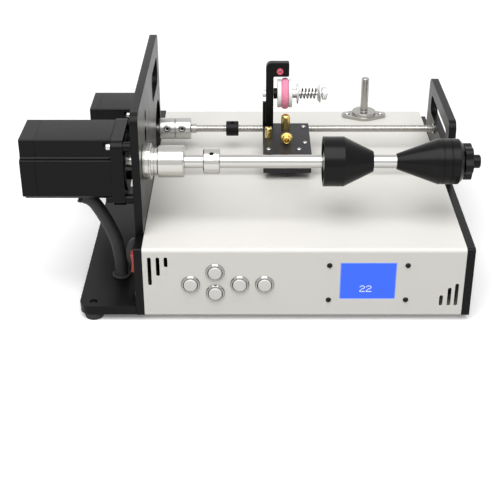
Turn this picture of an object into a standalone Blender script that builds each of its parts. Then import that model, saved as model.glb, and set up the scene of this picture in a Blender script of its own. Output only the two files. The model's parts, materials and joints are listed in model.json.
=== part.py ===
"""Fishing line spooling machine.

Units are metres, +Z up. Every piece is placed in the machine's own frame, whose zero is the inner
face of the left side plate, the front face of the housing and the floor. One empty carries them
all, so that the part's origin is the middle of its bounding box at floor height.
"""
import bpy
import bmesh
import math
from mathutils import Matrix, Vector

# Driving dimensions
SPAN = 0.400
DEPTH = 0.454
HOUSING_TOP = 0.103
FOOT_TOP = 0.009
PLATE = 0.010
SHEET = 0.002
FIT = 0.0003
OVERRUN = 0.002
SPINDLE_Y = 0.079
SPINDLE_Z = 0.185
SCREW_Y = 0.305
SCREW_Z = 0.1344
ROD_Y = 0.214
ROD_Z = 0.1241
VIEW_SLOPE = math.radians(29)

# Housing
BEND = 0.005
REAR_RECESS = 0.005
HOUSING_REAR = DEPTH - REAR_RECESS
FLANGE_TOP = 0.036
VENT_WIDTH = 0.0043
LEFT_VENT_TOP = 0.0916
LEFT_VENTS = ((0.0089, 0.0514), (0.0194, 0.0647), (0.0293, 0.0772))
RIGHT_VENT_BOTTOM = 0.0217
RIGHT_VENTS = ((0.3698, 0.0372), (0.3797, 0.0481), (0.3884, 0.0541))

# Side plates
PLATE_FLOOR = 0.008
LEFT_FRONT = 0.036
LEFT_REAR = 0.353
LEFT_TOP = 0.263
PLATE_CORNER = 0.014
HAND_HOLE_WIDTH = 0.090
HAND_HOLE_HEIGHT = 0.040
HAND_HOLE_CORNER = 0.014
HAND_HOLE_Y = 0.280
HAND_HOLE_Z = 0.2185
ROUND_OPENING = 0.0415
SMALL_HOLE = (0.130, 0.226, 0.007)
LARGE_HOLE = (0.123, 0.203, 0.0105)
RIGHT_FRONT = 0.200
RIGHT_TOP = 0.189
HANDLE_REAR_INSET = 0.082
HANDLE_FOOT_INSET = 0.074
RIGHT_REAR = DEPTH - HANDLE_REAR_INSET
RIGHT_FOOT = DEPTH - HANDLE_FOOT_INSET
RIGHT_REAR_TOP = 0.093
HANDLE_CORNER = 0.012
FINGER_LOW = (0.220, 0.143)
FINGER_HIGH = (0.350, 0.170)
FINGER_CORNER = 0.010
ROD_SEAT = 0.006
SIDE_SCREW_Z = 0.0275
SIDE_SCREW_INSET = 0.020

# Base plate and feet
BASE_REACH = 0.080
BASE_DEPTH = 0.347
BASE_THICKNESS = 0.012
BASE_CORNER = 0.015
FOOT_RADIUS = 0.0125
FOOT_TAPER = 0.001
FOOT_SCREW_DEPTH = 0.005
BASE_FOOT_X = -0.065
BASE_FOOT_INSET = 0.0125
HOUSING_FOOT_INSET = 0.040
BASE_SCREW_Y = (0.055, 0.280)
BASE_SCREW_BITE = 0.014

# Screws
SCREW_SHANK = 0.0025
SCREW_HEAD = 0.0045
SCREW_HEAD_HEIGHT = 0.0028
BASE_SCREW_HEAD = 0.0036
HEAD_CROWN_SHARE = 0.6
HEAD_EDGE_SHARE = 0.4

# Motors
MOTOR_BOLT_PITCH = 0.0696
FLANGE_SIDE = 0.086
FLANGE_CORNER = 0.010
FLANGE_THICKNESS = 0.015
SPACER_LENGTH = 0.010
SPACER_RADIUS = 0.006
PILOT_RADIUS = 0.0365
PILOT_HEIGHT = 0.002
MOTOR_SIDE = 0.080
MOTOR_NOTCH = 0.018
MOTOR_CORNER = 0.004
SPINDLE_MOTOR_LENGTH = 0.0925
SPINDLE_CAP_LENGTH = 0.0185
TRAVERSE_MOTOR_LENGTH = 0.0457
TRAVERSE_CAP_LENGTH = 0.0113
ROTOR_RADIUS = 0.026
ROTOR_CLEARANCE = 0.001
ROTOR_END_SPACE = 0.004
MOTOR_SHAFT = 0.007
MOTOR_JOURNAL = 0.005
JOURNAL_LENGTH = 0.006
BOLT_SHANK = 0.0025
BOLT_HEAD = 0.00425
BOLT_HEAD_HEIGHT = 0.005
BOLT_SOCKET = 0.0023
BOLT_SOCKET_DEPTH = 0.0025
FLANGE_FACE = -(PLATE + SPACER_LENGTH)
BODY_FACE = FLANGE_FACE - FLANGE_THICKNESS
OUTLET_X = -0.0785
OUTLET_Z = 0.1364
OUTLET_RADIUS = 0.010
OUTLET_LENGTH = 0.012
OUTLET_SLOPE = math.radians(23)

# Spindle line
BEARING_FLANGE_RADIUS = 0.0225
BEARING_FLANGE = 0.0107
BEARING_NOSE_RADIUS = 0.0175
BEARING_NOSE = 0.0187
BEARING_SPIGOT_RADIUS = 0.015
SPINDLE_COUPLING_START = 0.0191
SPINDLE_COUPLING_END = 0.0517
SPINDLE_COUPLING_RADIUS = 0.020
SPINDLE_JOIN = 0.035
SPINDLE_RADIUS = 0.0085
SPINDLE_END = 0.4204
SPINDLE_CHAMFER = 0.001
COLLAR_START = 0.0751
COLLAR_END = 0.0958
COLLAR_RADIUS = 0.016
COLLAR_HOLE = 0.0025
LEFT_CONE_START = 0.2241
LEFT_CONE_SHOULDER = 0.253
LEFT_CONE_TIP = 0.2871
LEFT_CONE_RADIUS = 0.03125
LEFT_CONE_TIP_RADIUS = 0.013
LEFT_CONE_RECESS = 0.005
LEFT_CONE_RIM = 0.005
CONE_HUB_RADIUS = 0.0135
CONE_HUB_PROUD = 0.001
RIGHT_CONE_TIP = 0.316
RIGHT_CONE_TIP_RADIUS = 0.0098
RIGHT_CONE_SHOULDER = 0.375
RIGHT_CONE_RADIUS = 0.0285
RIGHT_CONE_END = 0.3967
RIGHT_CONE_CHAMFER = 0.0078
RIGHT_CONE_END_RADIUS = 0.0235
BAND_WIDTH = 0.0015
BAND_DEPTH = 0.0012
BAND_PLACES = (0.3786, 0.3846)
KNOB_START = 0.3992
KNOB_END = 0.4117
KNOB_RADIUS = 0.0215
KNOB_LOBE = 0.0015
KNOB_LOBES = 6
KNOB_HUB_RADIUS = 0.013

# Lead screw line
TRAVERSE_JOIN = 0.025
TRAVERSE_COUPLING_START = 0.0027
TRAVERSE_COUPLING_END = 0.0475
TRAVERSE_COUPLING_RADIUS = 0.0153
SET_SCREW_PLACES = (0.0136, 0.0349)
SET_SCREW_RADIUS = 0.0026
LEAD_SCREW_RADIUS = 0.005
LEAD_SHOULDER_RADIUS = 0.0063
LEAD_SHOULDER_END = 0.0555
LEAD_JOURNAL_RADIUS = 0.003
BUSH_FLANGE_RADIUS = 0.0075
BUSH_FLANGE = 0.0022
BUSH_RADIUS = 0.005
SCREW_COLLAR_START = 0.0983
SCREW_COLLAR_END = 0.1162
SCREW_COLLAR_RADIUS = 0.0107
GUIDE_ROD_RADIUS = 0.004

# Carriage
CARRIAGE_LEFT = 0.1513
CARRIAGE_WIDTH = 0.0656
CARRIAGE_FRONT = 0.1965
CARRIAGE_FLAT_REAR = 0.305
CARRIAGE_REAR = 0.313
CARRIAGE_BOTTOM = 0.114
CARRIAGE_TOP = 0.1425
CARRIAGE_REAR_TOP = 0.1392
CARRIAGE_BOSS_RADIUS = 0.021
CARRIAGE_BOSS_Y = 0.220
CARRIAGE_BOSS_DROP = 0.004
LEAD_NUT_RADIUS = 0.0067
NUT_PROUD = 0.0018
BUSHING_RADIUS = 0.0066

# Line bracket on the carriage
BRACKET_BAR = 0.0041
BRACKET_BAR_WIDTH = 0.0107
BRACKET_FRONT = 0.293
BRACKET_REAR = 0.303
BRACKET_TOP = 0.2377
BRACKET_ARM_BOTTOM = 0.2175
BRACKET_ARM_REACH = 0.0366
ARM_CORNER = 0.002
BRACKET_CORNER = 0.0075
BRACKET_STRIP_WIDTH = 0.0045
BRACKET_STRIP_TOP = 0.1785
TOP_EYELET_X = 0.0237
TOP_EYELET_Z = 0.2252
TOP_EYELET_RADIUS = 0.0042
TOP_EYELET_FLANGE = 0.0058
TOP_EYELET_PROUD = 0.0015
TOP_EYELET_BORE = 0.0024

# Brass line guides on the carriage
BARREL_X = 0.0323
BARREL_Y = 0.284
BARREL_RADIUS = 0.0064
BARREL_TOP = 0.1648
BARREL_CROWN = 0.003
THUMB_X = 0.0074
THUMB_Y = 0.250
THUMB_RADIUS = 0.0049
THUMB_TOP = 0.160
THUMB_CROWN = 0.002
THUMB_STUD_RADIUS = 0.0022
THUMB_STUD_LENGTH = 0.006
GUIDE_X = 0.0322
GUIDE_Y = 0.229
GUIDE_BASE_RADIUS = 0.0083
GUIDE_BASE_HEIGHT = 0.005
GUIDE_STEM_RADIUS = 0.0064
GUIDE_TOP = 0.162
GUIDE_CROWN = 0.0025
GUIDE_HOLE = 0.0033
GUIDE_HOLE_Z = 0.155

# Tensioner on the bracket
TENSION_Y = 0.298
TENSION_Z = 0.1911
STUD_RADIUS = 0.003
STUD_HEAD_RADIUS = 0.005
STUD_HEAD_LENGTH = 0.0045
SPACER_END = 0.0199
TENSION_SPACER_RADIUS = 0.0076
WHEEL_START = 0.0202
WHEEL_FELT_START = 0.026
WHEEL_FELT_END = 0.0362
WHEEL_END = 0.0412
WHEEL_RADIUS = 0.0199
WHEEL_HUB_RADIUS = 0.010
FELT_RADIUS = 0.022
FELT_EDGE = 0.002
WASHER_RADIUS = 0.0066
WASHER_END = 0.0462
DISC_RADIUS = 0.0149
DISC_END = 0.0511
DISC_RIM = 0.0478
DISC_THICKNESS = 0.0012
DISC_FLAT_RADIUS = 0.0095
SPRING_END = 0.0770
SPRING_RADIUS = 0.0070
SPRING_WIRE = 0.0008
SPRING_CURLS = 5
CONE_WASHER_END = 0.0824
CONE_WASHER_RADIUS = 0.0135
CONE_WASHER_THICKNESS = 0.0014
CONE_WASHER_FLAT = 0.0095
NUT_START = 0.0834
NUT_END = 0.0906
NUT_RADIUS = 0.0092
NUT_CHAMFER = 0.0008
STUD_END = 0.0926

# Supply post
POST_RIGHT_INSET = 0.0903
POST_REAR_INSET = 0.027
POST_X = SPAN - POST_RIGHT_INSET
POST_Y = DEPTH - POST_REAR_INSET
POST_FLANGE_REACH = 0.034
POST_FLANGE_RADIUS = 0.0195
POST_FLANGE_HEIGHT = 0.005
POST_HUB_RADIUS = 0.01825
POST_HUB_HEIGHT = 0.010
POST_ROD_RADIUS = 0.006
POST_TOP = 0.1665
POST_CHAMFER = 0.0015
POST_BOLT_PITCH = 0.0258
POST_BOLT_BITE = 0.008

# Front panel
WINDOW_LEFT = 0.2455
WINDOW_RIGHT = 0.3142
WINDOW_BOTTOM = 0.0323
WINDOW_TOP = 0.0836
WINDOW_THICKNESS = 0.0022
MODULE_MARGIN = 0.0040
MODULE_SIDE_MARGIN = 0.019
MODULE_THICKNESS = 0.004
BOARD_THICKNESS = 0.0016
DISPLAY_SCREW_INSET = 0.0140
DISPLAY_SCREW_TOP = 0.0804
DISPLAY_SCREW_BOTTOM = 0.031
DISPLAY_SCREW_HEAD = 0.0023
DISPLAY_SCREW_SHANK = 0.0012
BUTTONS = ((0.0592, 0.0537), (0.0900, 0.0709), (0.0900, 0.0414), (0.1204, 0.0538), (0.1514, 0.0537))
BUTTON_PROUD = 0.005
BUTTON_TRAVEL = 0.002
BUTTON_RADIUS = 0.00825
BUTTON_EDGE = 0.001
BEZEL_RADIUS = 0.012
BEZEL_PROUD = 0.003
BEZEL_EDGE = 0.0011
BEZEL_NECK = 0.0104
BEZEL_LENGTH = 0.010

# Power switch on the left plate
SWITCH_Y = 0.052
SWITCH_WIDTH = 0.022
SWITCH_BOTTOM = 0.040
SWITCH_TOP = 0.074
SWITCH_PROUD = 0.0045
SWITCH_NECK_INSET = 0.003
SWITCH_NECK_LENGTH = 0.020
GUARD_TOP = 0.087
GUARD_THICKNESS = 0.003
GUARD_PROUD = 0.016
GUARD_POINTS = 10
ROCKER_WIDTH = 0.014
ROCKER_WALL = 0.0025
ROCKER_PROUD = 0.009
ROCKER_DISH = 0.0035
ROCKER_SWING = math.radians(7)

# Motor cable
SLEEVE_RADIUS = 0.00825
SLEEVE_SIDES_RESOLUTION = 2
SLEEVE_STEP = 0.012
CABLE_X = -0.036
GROMMET_FLANGE = 0.0125
GROMMET_NECK = 0.0105
GROMMET_HEIGHT = 0.003
GROMMET_SUNK = 0.009
SLEEVE_SUNK = 0.006
SLEEVE_ROUTE = ((-0.0630, 0.1250), (-0.0500, 0.1000), (-0.0405, 0.0740), (-0.0368, 0.0500), (-0.0360, 0.0350))

# Electronics
STANDOFF_RADIUS = 0.003
STANDOFF_HEIGHT = 0.008
CONTROL_LEFT_INSET = 0.050
CONTROL_FRONT_INSET = 0.080
CONTROL_WIDTH = 0.160
CONTROL_DEPTH = 0.120
CONTROL_LOW = (CONTROL_LEFT_INSET, CONTROL_FRONT_INSET)
CONTROL_HIGH = (CONTROL_LEFT_INSET + CONTROL_WIDTH, CONTROL_FRONT_INSET + CONTROL_DEPTH)
CONTROL_SCREW_INSET = 0.006
CHIP_HEIGHT = 0.012
CHIP_SHARES = ((0.15, 0.20, 0.45, 0.70), (0.55, 0.15, 0.75, 0.45), (0.55, 0.60, 0.90, 0.85))
SUPPLY_RIGHT_INSET = 0.070
SUPPLY_REAR_INSET = 0.054
SUPPLY_WIDTH = 0.150
SUPPLY_DEPTH = 0.110
SUPPLY_HIGH = (SPAN - SUPPLY_RIGHT_INSET, DEPTH - SUPPLY_REAR_INSET)
SUPPLY_LOW = (SUPPLY_HIGH[0] - SUPPLY_WIDTH, SUPPLY_HIGH[1] - SUPPLY_DEPTH)
SUPPLY_HEIGHT = 0.045
SUPPLY_SLOTS = 5
SUPPLY_SLOT_WIDTH = 0.004
SUPPLY_SLOT_MARGIN = 0.020
SUPPLY_SLOT_DEPTH = 0.012
INLET_X = 0.060
INLET_Z = 0.055
INLET_WIDTH = 0.030
INLET_HEIGHT = 0.026
INLET_FACE_MARGIN = 0.006
INLET_FACE = 0.0035
INLET_LENGTH = 0.024
INLET_SOCKET_MARGIN = 0.004
INLET_SOCKET_DEPTH = 0.016
INLET_PIN = 0.0015
INLET_PIN_PITCH = 0.007
INLET_PIN_RISE = 0.002

# Roundness
FINE = 24
MEDIUM = 16
COARSE = 12
SMALL = 8
CORNER_STEPS = 3

LEFT_REACH = -BODY_FACE + SPINDLE_MOTOR_LENGTH + SPINDLE_CAP_LENGTH + FIT
ORIGIN_X = (LEFT_REACH - SPINDLE_END) / 2
ORIGIN_Y = (BUTTON_PROUD - DEPTH) / 2
TRAY_TOP = FOOT_TOP + SHEET
SIDE_X = Vector((1, 0, 0))
SIDE_Y = Vector((0, 1, 0))
SIDE_Z = Vector((0, 0, 1))
TOWARD_VIEW = Vector((0, -math.cos(VIEW_SLOPE), math.sin(VIEW_SLOPE)))

COLOURS = {
    "white_paint": ((0.78, 0.77, 0.74), 0.45, 0.0),
    "black_metal": ((0.035, 0.036, 0.038), 0.42, 0.6),
    "grey_metal": ((0.10, 0.10, 0.105), 0.38, 0.8),
    "steel": ((0.62, 0.62, 0.61), 0.25, 1.0),
    "aluminium": ((0.50, 0.51, 0.52), 0.35, 1.0),
    "chrome": ((0.78, 0.78, 0.78), 0.12, 1.0),
    "brass": ((0.72, 0.52, 0.18), 0.28, 1.0),
    "rubber": ((0.02, 0.02, 0.02), 0.85, 0.0),
    "dark_plastic": ((0.03, 0.03, 0.03), 0.5, 0.0),
    "red_plastic": ((0.60, 0.10, 0.08), 0.4, 0.0),
    "red_ceramic": ((0.75, 0.20, 0.22), 0.3, 0.0),
    "white_plastic": ((0.85, 0.85, 0.84), 0.4, 0.0),
    "pink_felt": ((0.90, 0.45, 0.58), 0.9, 0.0),
    "screen": ((0.08, 0.22, 0.62), 0.15, 0.0),
    "circuit_green": ((0.03, 0.20, 0.08), 0.5, 0.0),
}


def clear_scene():
    """Remove every object that the file opens with."""
    for item in list(bpy.data.objects):
        bpy.data.objects.remove(item, do_unlink=True)


clear_scene()
PARTS = bpy.data.collections.new("fishing_line_spooling_machine")
CUTTERS = bpy.data.collections.new("cutters")
bpy.context.scene.collection.children.link(PARTS)
bpy.context.scene.collection.children.link(CUTTERS)
ROOT = bpy.data.objects.new("machine_frame", None)
ROOT.location = (ORIGIN_X, ORIGIN_Y, 0)
PARTS.objects.link(ROOT)


def make_material(piece, colour_name):
    """One Principled material for one piece."""
    colour, roughness, metallic = COLOURS[colour_name]
    material = bpy.data.materials.new(piece + "_material")
    material.use_nodes = True
    shader = material.node_tree.nodes["Principled BSDF"]
    shader.inputs["Base Color"].default_value = (*colour, 1)
    shader.inputs["Roughness"].default_value = roughness
    shader.inputs["Metallic"].default_value = metallic
    material.diffuse_color = (*colour, 1)
    return material


def baked(obj, flat=False):
    """The object as the viewport shows it, as a welded mesh with its faces out, flat ones in one piece."""
    bpy.context.view_layer.update()
    graph = bpy.context.evaluated_depsgraph_get()
    mesh = bpy.data.meshes.new_from_object(obj.evaluated_get(graph))
    mesh.transform(obj.matrix_basis)
    bpy.data.objects.remove(obj, do_unlink=True)
    work = bmesh.new()
    work.from_mesh(mesh)
    bmesh.ops.remove_doubles(work, verts=work.verts, dist=FIT / 100)
    if flat:
        bmesh.ops.dissolve_limit(work, angle_limit=math.radians(0.05), verts=work.verts, edges=work.edges)
    bmesh.ops.recalc_face_normals(work, faces=work.faces)
    work.to_mesh(mesh)
    work.free()
    return mesh


def group(meshes):
    """Several separate bodies as one mesh."""
    work = bmesh.new()
    for mesh in meshes:
        work.from_mesh(mesh)
    result = bpy.data.meshes.new("group")
    work.to_mesh(result)
    work.free()
    return result


def block(low, high):
    """A box between two opposite corners."""
    low = Vector(low)
    high = Vector(high)
    work = bmesh.new()
    place = Matrix.Translation((low + high) / 2) @ Matrix.Diagonal((*(high - low), 1))
    bmesh.ops.create_cube(work, size=1, matrix=place)
    mesh = bpy.data.meshes.new("block")
    work.to_mesh(mesh)
    work.free()
    return mesh


def rod(start, end, radius, sides=MEDIUM):
    """A round bar between two points."""
    start = Vector(start)
    end = Vector(end)
    run = end - start
    turn = SIDE_Z.rotation_difference(run.normalized()).to_matrix().to_4x4()
    work = bmesh.new()
    bmesh.ops.create_cone(work, cap_ends=True, cap_tris=False, segments=sides, radius1=radius,
                          radius2=radius, depth=run.length,
                          matrix=Matrix.Translation((start + end) / 2) @ turn)
    mesh = bpy.data.meshes.new("rod")
    work.to_mesh(mesh)
    work.free()
    return mesh


def turned(profile, origin, direction, sides=MEDIUM, ring=False):
    """A turned body: (radius, height) points down its outer side, then up its bore if it is a ring."""
    mesh = bpy.data.meshes.new("profile")
    count = len(profile)
    edges = [(index, index + 1) for index in range(count - 1)]
    if ring:
        edges.append((count - 1, 0))
    mesh.from_pydata([(radius, 0, height) for radius, height in profile], edges, [])
    obj = bpy.data.objects.new("turned", mesh)
    CUTTERS.objects.link(obj)
    screw = obj.modifiers.new("turn", "SCREW")
    screw.axis = "Z"
    screw.angle = math.tau
    screw.steps = sides
    screw.render_steps = sides
    screw.use_merge_vertices = True
    screw.merge_threshold = FIT / 100
    obj.rotation_mode = "QUATERNION"
    obj.rotation_quaternion = SIDE_Z.rotation_difference(direction)
    obj.location = origin
    return baked(obj)


PLANES = {
    "X": Matrix(((0, 0, 1), (1, 0, 0), (0, 1, 0))).to_4x4(),
    "Y": Matrix(((1, 0, 0), (0, 0, -1), (0, 1, 0))).to_4x4(),
    "Z": Matrix.Identity(4),
}


def circle(u, v, radius, sides=FINE):
    """A round hole's outline."""
    angles = [math.tau * (index + 0.5) / sides for index in range(sides)]
    return [(u + radius * math.cos(angle), v + radius * math.sin(angle)) for angle in angles]


def slab(outline, axis, low, high, holes=()):
    """A flat outline with its holes, in the two axes left over, filled between two planes across the axis."""
    curve = bpy.data.curves.new("outline", "CURVE")
    curve.dimensions = "2D"
    curve.fill_mode = "BOTH"
    curve.extrude = (high - low) / 2
    for loop in (outline, *holes):
        spline = curve.splines.new("POLY")
        spline.points.add(len(loop) - 1)
        for point, (u, v) in zip(spline.points, loop):
            point.co = (u, v, 0, 1)
        spline.use_cyclic_u = True
    obj = bpy.data.objects.new("slab", curve)
    CUTTERS.objects.link(obj)
    middle = (low + high) / 2
    shift = {"X": (middle, 0, 0), "Y": (0, middle, 0), "Z": (0, 0, middle)}[axis]
    obj.matrix_basis = Matrix.Translation(shift) @ PLANES[axis]
    return baked(obj, flat=True)


def tube(points, radius, resolution):
    """A round tube along points, with closed ends."""
    curve = bpy.data.curves.new("path", "CURVE")
    curve.dimensions = "3D"
    curve.bevel_depth = radius
    curve.bevel_resolution = resolution
    curve.use_fill_caps = True
    spline = curve.splines.new("POLY")
    spline.points.add(len(points) - 1)
    for point, place in zip(spline.points, points):
        point.co = (*place, 1)
    obj = bpy.data.objects.new("tube", curve)
    CUTTERS.objects.link(obj)
    return baked(obj)


def rounded(corners, steps=CORNER_STEPS):
    """An outline through corners (u, v, radius), each with its own round."""
    outline = []
    count = len(corners)
    for index, (u, v, radius) in enumerate(corners):
        corner = Vector((u, v))
        if radius == 0:
            outline.append((u, v))
            continue
        before = (Vector(corners[index - 1][:2]) - corner).normalized()
        after = (Vector(corners[(index + 1) % count][:2]) - corner).normalized()
        half = before.angle(after) / 2
        centre = corner + (before + after).normalized() * (radius / math.sin(half))
        start = corner + before * (radius / math.tan(half)) - centre
        sweep = math.pi - 2 * half
        if before.x * after.y - before.y * after.x > 0:
            sweep = -sweep
        for step in range(steps + 1):
            angle = sweep * step / steps
            spot = centre + Matrix.Rotation(angle, 2) @ start
            outline.append((spot.x, spot.y))
    return outline


def rectangle(low, high, radius=0):
    """A rectangle's outline with round corners."""
    corners = ((low[0], low[1]), (high[0], low[1]), (high[0], high[1]), (low[0], high[1]))
    return rounded([(u, v, radius) for u, v in corners])


def node(name, colour_name, solids, joins=(), cuts=(), pivot=(0, 0, 0), solver="EXACT"):
    """One named piece: its solids, what is joined to them, what is cut away, and its origin."""
    mesh = group(solids)
    mesh.name = name
    mesh.shade_smooth()
    mesh.set_sharp_from_angle(angle=math.radians(35))
    mesh.transform(Matrix.Translation(-Vector(pivot)))
    obj = bpy.data.objects.new(name, mesh)
    obj.location = pivot
    obj.parent = ROOT
    obj.data.materials.append(make_material(name, colour_name))
    PARTS.objects.link(obj)
    tools = [("UNION", mesh) for mesh in joins] + [("DIFFERENCE", mesh) for mesh in cuts]
    for operation, tool_mesh in tools:
        tool = bpy.data.objects.new(name + "_tool", tool_mesh)
        tool.parent = ROOT
        tool.hide_render = True
        tool.display_type = "WIRE"
        CUTTERS.objects.link(tool)
        modifier = obj.modifiers.new(operation.lower(), "BOOLEAN")
        modifier.operation = operation
        modifier.solver = solver
        modifier.object = tool
    return obj


def ring_profile(outer, inner, low, high, edge=0):
    """The closed profile of a plain ring, its outer edges broken."""
    profile = [(outer - edge, high)]
    if edge:
        profile.append((outer, high - edge))
        profile.append((outer, low + edge))
    profile.append((outer - edge, low))
    profile.append((inner, low))
    profile.append((inner, high))
    return profile


def screw(seat, direction, head, height, shank, bite, sides=SMALL):
    """A round-headed screw whose head rests at the seat."""
    profile = [(0, height), (head * HEAD_CROWN_SHARE, height), (head, height * HEAD_EDGE_SHARE),
               (head, 0), (shank, 0), (shank, -bite), (0, -bite)]
    return turned(profile, seat, direction, sides)


def capsule(x, low, high, width):
    """An upright slot with round ends."""
    half = width / 2
    outline = []
    for centre, start in ((high - half, 0), (low + half, math.pi)):
        for step in range(CORNER_STEPS + 2):
            angle = start + math.pi * step / (CORNER_STEPS + 1)
            outline.append((x + half * math.cos(angle), centre + half * math.sin(angle)))
    return outline


def housing_vents():
    """Upright slots near both ends of the front panel."""
    spans = [(x, bottom, LEFT_VENT_TOP) for x, bottom in LEFT_VENTS]
    spans += [(x, RIGHT_VENT_BOTTOM, top) for x, top in RIGHT_VENTS]
    return group([slab(capsule(x, bottom, top, VENT_WIDTH), "Y", -OVERRUN, SHEET + OVERRUN)
                  for x, bottom, top in spans])


def display_screw_places():
    """Centres of the display's four screws."""
    left = WINDOW_LEFT - DISPLAY_SCREW_INSET
    right = WINDOW_RIGHT + DISPLAY_SCREW_INSET
    return [(x, z) for x in (left, right) for z in (DISPLAY_SCREW_BOTTOM, DISPLAY_SCREW_TOP)]


def post_bolt_places():
    """Where the post's two bolts pass through the housing's top."""
    return [POST_X - POST_BOLT_PITCH, POST_X + POST_BOLT_PITCH]


def housing_cover():
    """Top and front in one bent sheet, with the five button bezels fixed in it."""
    inner_top = HOUSING_TOP - SHEET
    outline = rounded([(0, FOOT_TOP, 0), (SHEET, FOOT_TOP, 0), (SHEET, inner_top, BEND - SHEET),
                       (HOUSING_REAR, inner_top, 0), (HOUSING_REAR, HOUSING_TOP, 0),
                       (0, HOUSING_TOP, BEND)])
    shell = slab(outline, "X", FIT, SPAN - FIT)
    window = block((WINDOW_LEFT - FIT, -OVERRUN, WINDOW_BOTTOM - FIT),
                   (WINDOW_RIGHT + FIT, SHEET + OVERRUN, WINDOW_TOP + FIT))
    bezel = [(0, BEZEL_PROUD), (BEZEL_RADIUS - BEZEL_EDGE, BEZEL_PROUD), (BEZEL_RADIUS, BEZEL_PROUD - BEZEL_EDGE),
             (BEZEL_RADIUS, -SHEET / 2), (BEZEL_NECK, -SHEET / 2), (BEZEL_NECK, -BEZEL_LENGTH), (0, -BEZEL_LENGTH)]
    bezels = [turned(bezel, (x, 0, z), -SIDE_Y) for x, z in BUTTONS]
    bores = [rod((x, -BEZEL_PROUD - OVERRUN, z), (x, BEZEL_LENGTH + OVERRUN, z), BUTTON_RADIUS + FIT)
             for x, z in BUTTONS]
    holes = []
    for x, z in display_screw_places():
        holes.append(rod((x, -OVERRUN, z), (x, SHEET + OVERRUN, z), DISPLAY_SCREW_HEAD, SMALL))
    for x in post_bolt_places():
        holes.append(rod((x, POST_Y, HOUSING_TOP - SHEET - OVERRUN), (x, POST_Y, HOUSING_TOP + OVERRUN),
                         SCREW_SHANK + FIT, SMALL))
    node("housing_cover", "white_paint", [shell], joins=[group(bezels)],
         cuts=[housing_vents(), window, group(holes), group(bores)], solver="MANIFOLD")


def side_screw_ys():
    """Front and rear places of the screws through the side plates."""
    return (SIDE_SCREW_INSET, DEPTH - SIDE_SCREW_INSET)


def housing_foot_places():
    """Feet under the housing's right end."""
    return [(SPAN - HOUSING_FOOT_INSET, y) for y in (HOUSING_FOOT_INSET, DEPTH - HOUSING_FOOT_INSET)]


def base_foot_places():
    """Feet under the motor base plate."""
    return [(BASE_FOOT_X, BASE_FOOT_INSET), (BASE_FOOT_X, BASE_DEPTH - BASE_FOOT_INSET)]


def chassis_tray():
    """Floor, rear panel and two low side flanges."""
    front = SHEET + FIT
    rear = HOUSING_REAR
    top = HOUSING_TOP - SHEET - FIT
    outline = [(front, FOOT_TOP), (rear, FOOT_TOP), (rear, top), (rear - SHEET, top),
               (rear - SHEET, TRAY_TOP), (front, TRAY_TOP)]
    shell = slab(outline, "X", FIT, SPAN - FIT)
    lap = SHEET / 2
    flanges = [block((FIT, front, FOOT_TOP + lap), (FIT + SHEET, rear - lap, FLANGE_TOP)),
               block((SPAN - FIT - SHEET, front, FOOT_TOP + lap), (SPAN - FIT, rear - lap, FLANGE_TOP))]
    holes = []
    for y in side_screw_ys():
        for low, high in ((-OVERRUN, SHEET + OVERRUN), (SPAN - SHEET - OVERRUN, SPAN + OVERRUN)):
            holes.append(rod((low, y, SIDE_SCREW_Z), (high, y, SIDE_SCREW_Z), SCREW_SHANK + FIT, SMALL))
    for x, y in housing_foot_places():
        holes.append(rod((x, y, FOOT_TOP - OVERRUN), (x, y, TRAY_TOP + OVERRUN), SCREW_SHANK + FIT, SMALL))
    for y in BASE_SCREW_Y:
        z = base_screw_z()
        holes.append(rod((-OVERRUN, y, z), (SHEET + OVERRUN, y, z), BASE_SCREW_HEAD + FIT, SMALL))
    inlet = block((INLET_X - INLET_WIDTH / 2 - FIT, rear - SHEET - OVERRUN, INLET_Z - INLET_HEIGHT / 2 - FIT),
                  (INLET_X + INLET_WIDTH / 2 + FIT, rear + OVERRUN, INLET_Z + INLET_HEIGHT / 2 + FIT))
    node("chassis_tray", "white_paint", [shell], joins=flanges, cuts=[group(holes), inlet])


def base_screw_z():
    """Height of the screws that hold the base plate's edge."""
    return FOOT_TOP + BASE_THICKNESS / 2


def bolt_offsets():
    """The four motor bolts around a motor's axis."""
    half = MOTOR_BOLT_PITCH / 2
    return [(dy, dz) for dy in (-half, half) for dz in (-half, half)]


def motor_axes():
    """Both motors' axes, spindle first."""
    return ((SPINDLE_Y, SPINDLE_Z), (SCREW_Y, SCREW_Z))


def motor_bolt_places():
    """Centres of all eight motor bolts."""
    return [(y + dy, z + dz) for y, z in motor_axes() for dy, dz in bolt_offsets()]


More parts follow.
